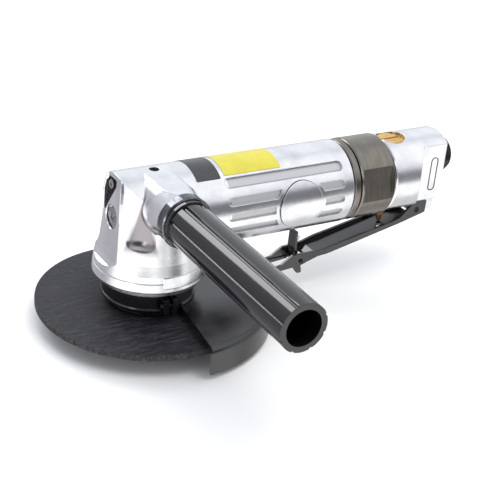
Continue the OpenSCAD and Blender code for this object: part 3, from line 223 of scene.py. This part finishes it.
castAluminium = {
    # buffed aluminium is nearly white, clouded where the wheel passed less
    "colour": "ECEDEF", "shade": "D9DADE", "shadeFade": (0.38, 0.7),
    "rough": (0.14, 0.26), "roughFade": (0.3, 0.72),
    # painted shade: the floors of the grip grooves are coloured darker for the shade in these
    # hollows, and are rougher as unbuffed metal
    "shadedGrooveFloor": "D2D2D4", "grooveRough": 0.5,
    # painted reflection: the flute beside the boss is coloured dark for the dark room that it
    # mirrors
    "fluteDarkReflection": "918C8F", "fluteRough": 0.22,
    # 13 mm clouds, 4 mm buffing waves, 0.3 mm grain
    "cloudScale": 75, "waveScale": 260, "grainScale": 3000,
    "waveBump": (0.12, 0.0005), "grainBump": (0.08, 0.00008),
    # buffing rounds every edge by about half a millimetre
    "edgeRadius": 0.0006, "edgeSamples": 6,
    # distances from the motor's axis at a groove's floor and lip, and where grooves begin and end
    "grooves": {"deep": 0.02195, "high": 0.02235, "from": 0.034, "to": 0.106},
    # a narrow triangle in angle and height round the spindle, with its foot down
    "flute": {"angle": -127.5, "top": 0.018, "widening": 640.0, "foot": -0.0115,
              "reach": 0.025, "lean": -0.15, "sideFade": (-0.05, 0.04), "footFade": 0.003},
}


def grooveAmount(material, split):
    # a place is in a groove if it lies nearer the motor's axis than the barrel's skin
    s = castAluminium["grooves"]
    across = addNode(material, "ShaderNodeCombineXYZ",
                     links={"Y": split.outputs["Y"], "Z": split.outputs["Z"]})
    radius = addNode(material, "ShaderNodeVectorMath", {"operation": "LENGTH"},
                     {0: across.outputs[0]})
    depth = addNode(material, "ShaderNodeMapRange", {"From Min": s["high"], "From Max": s["deep"]},
                    {"Value": radius.outputs["Value"]})
    behind = addNode(material, "ShaderNodeMath", {"operation": "GREATER_THAN", 1: s["from"]},
                     {0: split.outputs["X"]})
    before = addNode(material, "ShaderNodeMath", {"operation": "LESS_THAN", 1: s["to"]},
                     {0: split.outputs["X"]})
    along = addNode(material, "ShaderNodeMath", {"operation": "MULTIPLY"},
                    {0: behind.outputs[0], 1: before.outputs[0]})
    inside = addNode(material, "ShaderNodeMath", {"operation": "MULTIPLY"},
                     {0: along.outputs[0], 1: depth.outputs[0]})
    return inside.outputs[0]


def fluteAmount(material, split):
    s = castAluminium["flute"]
    # both sides of the head alike: the angle is taken as on the side towards -Y
    offMiddle = addNode(material, "ShaderNodeMath", {"operation": "ABSOLUTE"},
                        {0: split.outputs["Y"]})
    nearSide = addNode(material, "ShaderNodeMath", {"operation": "MULTIPLY", 1: -1.0},
                       {0: offMiddle.outputs[0]})
    angle = addNode(material, "ShaderNodeMath", {"operation": "ARCTAN2"},
                    {0: nearSide.outputs[0], 1: split.outputs["X"]})
    aside = addNode(material, "ShaderNodeMath",
                    {"operation": "SUBTRACT", 1: math.radians(s["angle"])}, {0: angle.outputs[0]})
    offLine = addNode(material, "ShaderNodeMath", {"operation": "ABSOLUTE"}, {0: aside.outputs[0]})
    # it widens by so many degrees for each metre below its top
    widening = math.radians(s["widening"])
    width = addNode(material, "ShaderNodeMath",
                    {"operation": "MULTIPLY_ADD", 1: -widening, 2: widening * s["top"]},
                    {0: split.outputs["Z"]})
    margin = addNode(material, "ShaderNodeMath", {"operation": "SUBTRACT"},
                     {0: width.outputs[0], 1: offLine.outputs[0]})
    sides = addNode(material, "ShaderNodeMapRange",
                    {"From Min": s["sideFade"][0], "From Max": s["sideFade"][1],
                     "interpolation_type": "SMOOTHSTEP"}, {"Value": margin.outputs[0]})
    foot = addNode(material, "ShaderNodeMapRange",
                   {"From Min": s["foot"] - s["footFade"], "From Max": s["foot"] + s["footFade"],
                    "interpolation_type": "SMOOTHSTEP"}, {"Value": split.outputs["Z"]})
    # only metal nearer the spindle than the head's skin is in it
    level = addNode(material, "ShaderNodeCombineXYZ",
                    links={"X": split.outputs["X"], "Y": split.outputs["Y"]})
    spread = addNode(material, "ShaderNodeVectorMath", {"operation": "LENGTH"},
                     {0: level.outputs[0]})
    skin = addNode(material, "ShaderNodeMath",
                   {"operation": "MULTIPLY_ADD", 1: s["lean"], 2: s["reach"]},
                   {0: split.outputs["Z"]})
    hollow = addNode(material, "ShaderNodeMath", {"operation": "LESS_THAN"},
                     {0: spread.outputs["Value"], 1: skin.outputs[0]})
    low = addNode(material, "ShaderNodeMath", {"operation": "MULTIPLY"},
                  {0: sides.outputs[0], 1: foot.outputs[0]})
    inside = addNode(material, "ShaderNodeMath", {"operation": "MULTIPLY"},
                     {0: low.outputs[0], 1: hollow.outputs[0]})
    return inside.outputs[0]


def makeCastAluminium():
    s = castAluminium
    material, shader = newMaterial("buffedCastAluminium", s["colour"], 1.0, s["rough"][0])
    spot = addNode(material, "ShaderNodeTexCoord").outputs["Object"]
    clouds = addNode(material, "ShaderNodeTexNoise", {"Scale": s["cloudScale"], "Detail": 4.0},
                     {"Vector": spot})
    waves = addNode(material, "ShaderNodeTexNoise", {"Scale": s["waveScale"], "Detail": 3.0},
                    {"Vector": spot})
    grain = addNode(material, "ShaderNodeTexNoise", {"Scale": s["grainScale"], "Detail": 2.0},
                    {"Vector": spot})
    centred = addNode(material, "ShaderNodeMapping", {"Location": (0, 0, -axisHeight)},
                      {"Vector": spot})
    split = addNode(material, "ShaderNodeSeparateXYZ", links={"Vector": centred.outputs[0]})
    inGroove = grooveAmount(material, split)
    inFlute = fluteAmount(material, split)
    cloudy = addNode(material, "ShaderNodeMapRange",
                     {"From Min": s["shadeFade"][0], "From Max": s["shadeFade"][1]},
                     {"Value": clouds.outputs[0]})
    buffed = addNode(material, "ShaderNodeMix",
                     {"data_type": "RGBA", 6: linearColour(s["colour"]),
                      7: linearColour(s["shade"])}, {0: cloudy.outputs[0]})
    # painted shade: the darker colour is mixed in on the groove floors
    grooved = addNode(material, "ShaderNodeMix",
                      {"data_type": "RGBA", 7: linearColour(s["shadedGrooveFloor"])},
                      {0: inGroove, 6: buffed.outputs[2]})
    # painted reflection: the flute's dark colour is mixed in where the flute mask lies
    tone = addNode(material, "ShaderNodeMix",
                   {"data_type": "RGBA", 7: linearColour(s["fluteDarkReflection"])},
                   {0: inFlute, 6: grooved.outputs[2]})
    shiny = addNode(material, "ShaderNodeMapRange",
                    {"From Min": s["roughFade"][0], "From Max": s["roughFade"][1],
                     "To Min": s["rough"][0], "To Max": s["rough"][1]},
                    {"Value": clouds.outputs[0]})
    dulled = addNode(material, "ShaderNodeMix", {3: s["grooveRough"]},
                     {0: inGroove, 2: shiny.outputs[0]})
    rough = addNode(material, "ShaderNodeMix", {3: s["fluteRough"]},
                    {0: inFlute, 2: dulled.outputs[0]})
    edges = addNode(material, "ShaderNodeBevel",
                    {"samples": s["edgeSamples"], "Radius": s["edgeRadius"]})
    rolling = addNode(material, "ShaderNodeBump",
                      {"Strength": s["waveBump"][0], "Distance": s["waveBump"][1]},
                      {"Height": waves.outputs[0], "Normal": edges.outputs[0]})
    pitted = addNode(material, "ShaderNodeBump",
                     {"Strength": s["grainBump"][0], "Distance": s["grainBump"][1]},
                     {"Height": grain.outputs[0], "Normal": rolling.outputs[0]})
    connect(material, shader, tone.outputs[2], rough.outputs[0], pitted.outputs[0])
    return material


# colour, shade, roughness, and how the tool marks run: their scale along x, y and z. Real marks
# lie 0.1 to 0.2 mm apart, and are drawn 0.4 to 1.1 mm apart, as coarse as they need to show.
metals = {
    # cut on a lathe, fine marks round it
    "turnedSteel": ("BDBEC0", "8E8F92", (0.16, 0.32), (1500, 120, 1500)),
    # blackened, faintly mottled
    "oxidisedSteel": ("3B3B3D", "262627", (0.3, 0.46), (900, 900, 900)),
    # ground and lapped, mirror bright
    "groundSteel": ("D8D9DC", "C0C1C5", (0.06, 0.16), (2500, 400, 400)),
    # plated dark, mirror bright
    "darkChrome": ("7A7C81", "54565B", (0.07, 0.15), (900, 300, 900)),
    # bright brass, marks across the slot
    "turnedBrass": ("F0C66E", "C99A48", (0.14, 0.26), (300, 2400, 300)),
    # porous, dull
    "sinteredBronze": ("A87442", "7E5530", (0.4, 0.6), (1600, 1600, 1600)),
    # dark plating over milled flats
    "platedGunmetal": ("86827B", "7A756E", (0.2, 0.3), (900, 60, 60)),
    # fine brass wire
    "wovenGauze": ("C7AE72", "8E7A4A", (0.3, 0.5), (1400, 1400, 1400)),
}
metalSurface = {
    "cloudScale": 130.0,                        # handling dulls it in patches of 8 mm
    "shadeFade": (0.14, 0.38), "roughFade": (0.3, 0.7),
    "bump": (0.1, 0.00004),
    "edgeRadius": 0.0003, "edgeSamples": 4,     # the tool's burr is taken off
}


def makeMetal(name):
    s = metalSurface
    colour, shade, rough, marks = metals[name]
    material, shader = newMaterial(name, colour, 1.0, rough[0])
    spot = addNode(material, "ShaderNodeTexCoord").outputs["Object"]
    stretched = addNode(material, "ShaderNodeMapping", {"Scale": marks}, {"Vector": spot})
    cut = addNode(material, "ShaderNodeTexNoise", {"Scale": 1.0, "Detail": 3.0},
                  {"Vector": stretched.outputs[0]})
    clouds = addNode(material, "ShaderNodeTexNoise", {"Scale": s["cloudScale"], "Detail": 2.0},
                     {"Vector": spot})
    both = addNode(material, "ShaderNodeMath", {"operation": "MULTIPLY"},
                   {0: cut.outputs[0], 1: clouds.outputs[0]})
    worn = addNode(material, "ShaderNodeMapRange",
                   {"From Min": s["shadeFade"][0], "From Max": s["shadeFade"][1]},
                   {"Value": both.outputs[0]})
    tone = addNode(material, "ShaderNodeMix",
                   {"data_type": "RGBA", 6: linearColour(colour), 7: linearColour(shade)},
                   {0: worn.outputs[0]})
    shiny = addNode(material, "ShaderNodeMapRange",
                    {"From Min": s["roughFade"][0], "From Max": s["roughFade"][1],
                     "To Min": rough[0], "To Max": rough[1]}, {"Value": cut.outputs[0]})
    edges = addNode(material, "ShaderNodeBevel",
                    {"samples": s["edgeSamples"], "Radius": s["edgeRadius"]})
    scored = addNode(material, "ShaderNodeBump",
                     {"Strength": s["bump"][0], "Distance": s["bump"][1]},
                     {"Height": cut.outputs[0], "Normal": edges.outputs[0]})
    connect(material, shader, tone.outputs[2], shiny.outputs[0], scored.outputs[0])
    return material


# colour, dusty shade, roughness, scale of the skin's texture, strength of its bump, specular
coatings = {
    # baked black paint, fine orange peel
    "stovedEnamel": ("121215", "1C1C20", (0.16, 0.3), 900, 0.08, 0.8),
    # the same paint, dulled by exhaust oil
    "mattEnamel": ("121214", "1E1E21", (0.5, 0.68), 900, 0.12, 0.25),
    # matt seal rubber
    "nitrileRubber": ("121212", "1C1C1C", (0.55, 0.75), 1800, 0.2, 0.4),
    # glossy black moulding, faint flow waves
    "mouldedNylon": ("0B0B0E", "131317", (0.05, 0.12), 160, 0.06, 0.8),
    # brown cloth pressed in resin
    "phenolicLaminate": ("7A4E2B", "5D3A1F", (0.45, 0.6), 2200, 0.2, 0.5),
    # blank sticker film, satin
    "yellowVinyl": ("D6CC48", "C6BA38", (0.3, 0.42), 350, 0.05, 0.5),
    # the same in dark grey, a little glossier
    "greyVinyl": ("3D3E40", "313234", (0.26, 0.4), 350, 0.05, 0.5),
    # olive pressed fibre, dull
    "paperGasket": ("5A5838", "38371F", (0.5, 0.75), 1500, 0.2, 0.3),
}
coatingSurface = {
    "dustScale": 60.0, "dustRoughness": 0.65,   # dust settles in patches of 17 mm
    "shadeFade": (0.42, 0.75), "roughFade": (0.35, 0.75),
    "skinDepth": 0.0001,
    "edgeRadius": 0.0004, "edgeSamples": 4,     # paint and moulds round the edges
}


def makeCoating(name):
    s = coatingSurface
    colour, shade, rough, scale, strength, specular = coatings[name]
    material, shader = newMaterial(name, colour, 0.0, rough[0], specular)
    spot = addNode(material, "ShaderNodeTexCoord").outputs["Object"]
    skin = addNode(material, "ShaderNodeTexNoise", {"Scale": scale, "Detail": 2.0},
                   {"Vector": spot})
    dust = addNode(material, "ShaderNodeTexNoise",
                   {"Scale": s["dustScale"], "Detail": 5.0, "Roughness": s["dustRoughness"]},
                   {"Vector": spot})
    dusty = addNode(material, "ShaderNodeMapRange",
                    {"From Min": s["shadeFade"][0], "From Max": s["shadeFade"][1]},
                    {"Value": dust.outputs[0]})
    tone = addNode(material, "ShaderNodeMix",
                   {"data_type": "RGBA", 6: linearColour(colour), 7: linearColour(shade)},
                   {0: dusty.outputs[0]})
    shiny = addNode(material, "ShaderNodeMapRange",
                    {"From Min": s["roughFade"][0], "From Max": s["roughFade"][1],
                     "To Min": rough[0], "To Max": rough[1]}, {"Value": dust.outputs[0]})
    edges = addNode(material, "ShaderNodeBevel",
                    {"samples": s["edgeSamples"], "Radius": s["edgeRadius"]})
    peel = addNode(material, "ShaderNodeBump",
                   {"Strength": strength, "Distance": s["skinDepth"]},
                   {"Height": skin.outputs[0], "Normal": edges.outputs[0]})
    connect(material, shader, tone.outputs[2], shiny.outputs[0], peel.outputs[0])
    return material


abrasive = {
    # dark dull resin with paler ripples, loose grains that catch the light, and a chipped rim
    "colour": "222226", "light": "46464D", "lightFade": (0.46, 0.72),
    "grit": "6E6F74", "gritFade": (0.66, 0.76),
    "rim": "7C776F", "rimFade": (0.58, 0.68), "rimStart": 0.0568, "rimEnd": 0.0576,
    "plainRough": 0.75, "rough": (0.5, 0.8), "roughFade": (0.3, 0.7), "specular": 0.35,
    # the pressed cloth leaves ripples about 1.5 mm apart, along a line on the wheel
    "ripples": (90, 680, 90), "ripplesTurned": -20,
    "gritScale": 1500,               # 24 grit grains, about 0.7 mm
    "rippleBump": (0.7, 0.0007), "gritBump": (0.7, 0.00025),
}


def makeAbrasive():
    s = abrasive
    material, shader = newMaterial("resinBondedAbrasive", s["colour"], 0.0, s["plainRough"],
                                   s["specular"])
    spot = addNode(material, "ShaderNodeTexCoord").outputs["Object"]
    turned = addNode(material, "ShaderNodeMapping",
                     {"Rotation": (0, 0, math.radians(s["ripplesTurned"])), "Scale": s["ripples"]},
                     {"Vector": spot})
    ripple = addNode(material, "ShaderNodeTexNoise",
                     {"Scale": 1.0, "Detail": 4.0, "Roughness": 0.6, "Distortion": 0.6},
                     {"Vector": turned.outputs[0]})
    grit = addNode(material, "ShaderNodeTexNoise", {"Scale": s["gritScale"], "Detail": 2.0},
                   {"Vector": spot})
    flat = addNode(material, "ShaderNodeMapping", {"Scale": (1, 1, 0)}, {"Vector": spot})
    radius = addNode(material, "ShaderNodeVectorMath", {"operation": "LENGTH"},
                     {0: flat.outputs[0]})
    edge = addNode(material, "ShaderNodeMapRange",
                   {"From Min": s["rimStart"], "From Max": s["rimEnd"]},
                   {"Value": radius.outputs["Value"]})
    grains = addNode(material, "ShaderNodeMapRange",
                     {"From Min": s["rimFade"][0], "From Max": s["rimFade"][1]},
                     {"Value": grit.outputs[0]})
    chips = addNode(material, "ShaderNodeMath", {"operation": "MULTIPLY"},
                    {0: edge.outputs[0], 1: grains.outputs[0]})
    lines = addNode(material, "ShaderNodeMapRange",
                    {"From Min": s["lightFade"][0], "From Max": s["lightFade"][1]},
                    {"Value": ripple.outputs[0]})
    loose = addNode(material, "ShaderNodeMapRange",
                    {"From Min": s["gritFade"][0], "From Max": s["gritFade"][1]},
                    {"Value": grit.outputs[0]})
    base = addNode(material, "ShaderNodeMix",
                   {"data_type": "RGBA", 6: linearColour(s["colour"]),
                    7: linearColour(s["light"])}, {0: lines.outputs[0]})
    grained = addNode(material, "ShaderNodeMix",
                      {"data_type": "RGBA", 7: linearColour(s["grit"])},
                      {0: loose.outputs[0], 6: base.outputs[2]})
    tone = addNode(material, "ShaderNodeMix", {"data_type": "RGBA", 7: linearColour(s["rim"])},
                   {0: chips.outputs[0], 6: grained.outputs[2]})
    rough = addNode(material, "ShaderNodeMapRange",
                    {"From Min": s["roughFade"][0], "From Max": s["roughFade"][1],
                     "To Min": s["rough"][0], "To Max": s["rough"][1]},
                    {"Value": ripple.outputs[0]})
    rolling = addNode(material, "ShaderNodeBump",
                      {"Strength": s["rippleBump"][0], "Distance": s["rippleBump"][1]},
                      {"Height": ripple.outputs[0]})
    gritty = addNode(material, "ShaderNodeBump",
                     {"Strength": s["gritBump"][0], "Distance": s["gritBump"][1]},
                     {"Height": grit.outputs[0], "Normal": rolling.outputs[0]})
    connect(material, shader, tone.outputs[2], rough.outputs[0], gritty.outputs[0])
    return material


finishes = {
    "cast_alloy": makeCastAluminium(),
    "satin_steel": makeMetal("turnedSteel"), "dark_steel": makeMetal("oxidisedSteel"),
    "bright_steel": makeMetal("groundSteel"), "brass": makeMetal("turnedBrass"),
    "bronze": makeMetal("sinteredBronze"), "gunmetal": makeMetal("platedGunmetal"),
    "gauze": makeMetal("wovenGauze"),
    "black_paint": makeCoating("stovedEnamel"), "black_rubber": makeCoating("nitrileRubber"),
    "black_plastic": makeCoating("mouldedNylon"), "vane_resin": makeCoating("phenolicLaminate"),
    "abrasive": makeAbrasive(),
}
# nodes whose finish in the photograph is darker than their slot's
darker = {
    "exhaust_plate": makeCoating("mattEnamel"), "handle_collar": makeMetal("darkChrome"),
    "lever_pin": finishes["dark_steel"], "catch_pin": finishes["dark_steel"],
    "valve_stem": finishes["bronze"], "stem_bushing": finishes["bronze"],
}
slots = {row["node"]: row["material_slot"] for row in frame["record"]["subparts"]}
for name, node in frame["nodes"].items():
    node.data.materials.clear()
    node.data.materials.append(darker.get(name, finishes[slots[name]]))
print("finishes set on the frame's nodes")


# Pieces that the frame doesn't have. Sizes are in mm and angles in degrees. Heights count from the
# motor's axis, and x and y from the spindle's.

def pickParts(piece, kind, wanted):
    bpy.ops.object.mode_set(mode="OBJECT")
    bpy.context.tool_settings.mesh_select_mode = (kind == "VERT", False, kind == "FACE")
    for group in (piece.data.polygons, piece.data.edges, piece.data.vertices):
        for part in group:
            part.select = False
    for part in (piece.data.vertices if kind == "VERT" else piece.data.polygons):
        part.select = wanted(part)
    bpy.ops.object.mode_set(mode="EDIT")


def settle(piece):
    bpy.ops.object.mode_set(mode="OBJECT")
    bpy.ops.object.select_all(action="DESELECT")
    piece.select_set(True)
    bpy.context.view_layer.objects.active = piece
    bpy.ops.object.transform_apply(location=True, rotation=True, scale=True)


def addRing(settings, place, turn=(0, 0, 0)):
    bpy.ops.object.select_all(action="DESELECT")
    bpy.ops.mesh.primitive_torus_add(
        major_radius=settings["radius"] * mm, minor_radius=settings["thickness"] * mm,
        major_segments=settings["segments"][0], minor_segments=settings["segments"][1],
        location=place, rotation=turn)
    return bpy.context.active_object


def finishPiece(piece, name, body, material, smooth):
    settle(piece)
    for modifier in list(piece.modifiers):
        bpy.ops.object.modifier_apply(modifier=modifier.name)
    bpy.ops.object.shade_smooth_by_angle(angle=math.radians(smooth))
    piece.name = name
    piece.data.name = name
    piece.data.materials.clear()
    piece.data.materials.append(material)
    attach(piece, body)
    return piece


# Shells cut from a tube: two blank stickers over the top of the barrel, a thin cast pad on the
# head's rim, and the leaning skirt at the head's foot. Each lies from and to along the tube, and
# the first three only between their low and high angles round it.
shells = {
    "greySticker": {"axis": "x", "from": 17.2, "to": 30.7, "low": 54.0, "high": 124.0,
                    "radius": 22.53, "thickness": 0.1, "corner": 0.8},
    "yellowSticker": {"axis": "x", "from": 33.0, "to": 66.0, "low": 57.0, "high": 123.0,
                      "radius": 22.53, "thickness": 0.1, "corner": 0.8},
    "rimPad": {"axis": "z", "from": -29.6, "to": -23.6, "low": -102.0, "high": -38.0,
               "radius": 29.3, "thickness": 0.6, "corner": 0.3, "lean": 0.07},
    "rimSkirt": {"axis": "z", "from": -31.5, "to": -27.0,
                 "radius": 29.3, "thickness": 0.3, "lean": 0.148},
}
shellMaking = {"sides": 360, "cornerSegments": 4, "endWithin": 0.1, "smooth": 30}


def makeShell(name, material):
    s = shells[name]
    middle, length = (s["from"] + s["to"]) / 2 * mm, (s["to"] - s["from"]) * mm
    alongBarrel = s["axis"] == "x"
    bpy.ops.object.select_all(action="DESELECT")
    bpy.ops.mesh.primitive_cylinder_add(
        vertices=shellMaking["sides"], radius=s["radius"] * mm, depth=length,
        end_fill_type="NOTHING",
        location=(middle, 0, axisHeight) if alongBarrel else (0, 0, axisHeight + middle),
        rotation=(0, math.radians(90) if alongBarrel else 0, 0))
    piece = bpy.context.active_object
    settle(piece)

    def angleOf(spot):   # round the barrel from -Y over the top, or round the spindle from +X
        if alongBarrel:
            return math.degrees(math.atan2(spot.z - axisHeight, -spot.y))
        return math.degrees(math.atan2(spot.y, spot.x))

    if "corner" in s:    # a part of the tube only, with rounded corners
        pickParts(piece, "FACE", lambda face: not s["low"] < angleOf(face.center) < s["high"])
        bpy.ops.mesh.delete(type="FACE")
        bpy.ops.mesh.select_all(action="SELECT")
        bpy.ops.mesh.normals_make_consistent(inside=False)
        bpy.ops.object.mode_set(mode="OBJECT")
        angles = [angleOf(vertex.co) for vertex in piece.data.vertices]
        ends = (min(angles), max(angles))
        pickParts(piece, "VERT", lambda vertex: min(
            abs(angleOf(vertex.co) - end) for end in ends) < shellMaking["endWithin"])
        bpy.ops.mesh.bevel(offset=s["corner"] * mm, segments=shellMaking["cornerSegments"],
                           affect="VERTICES")
        bpy.ops.object.mode_set(mode="OBJECT")
    if "lean" in s:      # the head widens towards its foot
        foot = axisHeight + s["from"] * mm
        for vertex in piece.data.vertices:
            shrink = 1 - s["lean"] * (vertex.co.z - foot) / (s["radius"] * mm)
            vertex.co.x, vertex.co.y = vertex.co.x * shrink, vertex.co.y * shrink
    solidify = piece.modifiers.new("thickness", "SOLIDIFY")
    solidify.thickness = s["thickness"] * mm
    solidify.offset = 1 if alongBarrel else -1
    return finishPiece(piece, name, "housing", material, shellMaking["smooth"])


makeShell("greySticker", makeCoating("greyVinyl"))
makeShell("yellowSticker", makeCoating("yellowVinyl"))
makeShell("rimPad", finishes["cast_alloy"])
makeShell("rimSkirt", finishes["cast_alloy"])
print("stickers, rim pad and skirt made")


# Painted shadow: a thin dark ring at the foot of the bare medallion on the near side of the
# barrel, standing in for the shadow there
medallion = {"x": 75.0, "radius": 12.95, "thickness": 0.24, "segments": (128, 16),
             "padRadius": 22.95, "stand": 0.1, "flatten": 1.6, "smooth": 60}


def makeMedallionShadowRing():
    s = medallion
    piece = addRing(s, (s["x"] * mm, 0, axisHeight), (math.radians(90), 0, 0))
    settle(piece)
    padRadius, stand = s["padRadius"] * mm, s["stand"] * mm
    for vertex in piece.data.vertices:   # laid on the round pad, and stretched across it
        rise = vertex.co.z - axisHeight
        skin = math.sqrt(padRadius * padRadius - rise * rise)
        vertex.co.y = vertex.co.y * s["flatten"] - skin + stand
    # painted shadow: the ring takes the dark steel finish
    return finishPiece(piece, "medallionShadowRing", "housing", finishes["dark_steel"],
                       s["smooth"])


makeMedallionShadowRing()
print("medallion rim made")


# Thin raised outline of the bare plate on the valve housing's flat
plateFrame = {"left": 166.1, "right": 170.9, "low": -10.1, "high": 9.9, "width": 0.5,
              "face": -12.5, "stand": 0.15, "sides": 48, "smooth": 40}


def makePlateFrame():
    s = plateFrame
    radius = (s["right"] - s["left"]) / 2 * mm
    centre = axisHeight + (s["low"] + s["high"]) / 2 * mm
    reach = (s["high"] - s["low"]) / 2 * mm - radius
    bpy.ops.object.select_all(action="DESELECT")
    bpy.ops.mesh.primitive_circle_add(
        vertices=s["sides"], radius=radius, fill_type="NGON", rotation=(math.radians(90), 0, 0),
        location=((s["left"] + s["right"]) / 2 * mm, s["face"] * mm, centre))
    piece = bpy.context.active_object
    settle(piece)
    offCentre = 0.01 * mm
    for way in (1, -1):   # the circle's halves drawn apart
        pickParts(piece, "VERT", lambda vertex: (vertex.co.z - centre) * way > offCentre)
        bpy.ops.transform.translate(value=(0, 0, way * reach))
    pickParts(piece, "FACE", lambda face: True)
    bpy.ops.mesh.inset(thickness=s["width"] * mm)
    bpy.ops.mesh.delete(type="FACE")
    bpy.ops.mesh.select_all(action="SELECT")
    bpy.ops.mesh.normals_make_consistent(inside=False)
    bpy.ops.object.mode_set(mode="OBJECT")
    solidify = piece.modifiers.new("thickness", "SOLIDIFY")
    solidify.thickness = s["stand"] * mm * 2
    solidify.offset = 0
    return finishPiece(piece, "plateFrame", "housing", finishes["dark_steel"],
                       s["smooth"])


makePlateFrame()
print("plate frame made")


# Loop at the loose end of the catch's spring, seen behind the catch
springLoop = {"x": 91.9, "y": 2.2, "z": -33.4, "radius": 1.3, "thickness": 0.24,
              "segments": (40, 10), "opening": 0.5, "smooth": 60}


def makeSpringLoop():
    s = springLoop
    middle = Vector((s["x"] * mm, s["y"] * mm, axisHeight + s["z"] * mm))
    piece = addRing(s, middle, (math.radians(90), 0, 0))
    settle(piece)
    corner = middle + Vector((-s["opening"] * mm, 0, -s["opening"] * mm))
    pickParts(piece, "FACE", lambda face: True)
    bpy.ops.mesh.bisect(plane_co=corner, plane_no=(1, 0, 1), use_fill=True, clear_inner=True)
    return finishPiece(piece, "springLoop", "catch_set", finishes["bright_steel"],
                       s["smooth"])


makeSpringLoop()
print("spring loop made")


# The valve's spring, which in the tool shortens upwards as the stem lifts the valve; here its coil
# is copied with doubled points merged, at one length
valveSpring = {"travel": 3.0, "mergeWithin": 0.002, "smooth": 60}


def makeValveSpring():
    s = valveSpring
    piece = bpy.data.objects.new("valveSpringCoil", frame["nodes"]["valve_spring"].data.copy())
    bpy.context.scene.collection.objects.link(piece)
    settle(piece)
    pickParts(piece, "VERT", lambda vertex: True)
    bpy.ops.mesh.remove_doubles(threshold=s["mergeWithin"] * mm)
    finishPiece(piece, "valveSpringCoil", "housing", finishes["bright_steel"],
                s["smooth"])
    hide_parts("valve_spring")
    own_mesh(piece)


makeValveSpring()
print("valve spring made")


# Beads round the spindle: the gasket's edge under the head, and the stiffening bead pressed in
# the guard's band
beads = {
    "gasketBead": {"radius": 28.9, "thickness": 0.32, "drop": 31.7, "flatten": 0.8,
                   "segments": (160, 12), "smooth": 60},
    "bandBead": {"radius": 23.4, "thickness": 1.1, "drop": 44.2, "flatten": 1.15,
                 "segments": (160, 12), "smooth": 60},
}


def makeBead(name, body, material):
    s = beads[name]
    piece = addRing(s, (0, 0, axisHeight - s["drop"] * mm))
    bpy.ops.transform.resize(value=(1, 1, s["flatten"]))
    return finishPiece(piece, name, body, material, s["smooth"])


makeBead("gasketBead", "housing", makeCoating("paperGasket"))
makeBead("bandBead", "guard_set", finishes["black_paint"])
print("beads made")

bpy.context.view_layer.update()
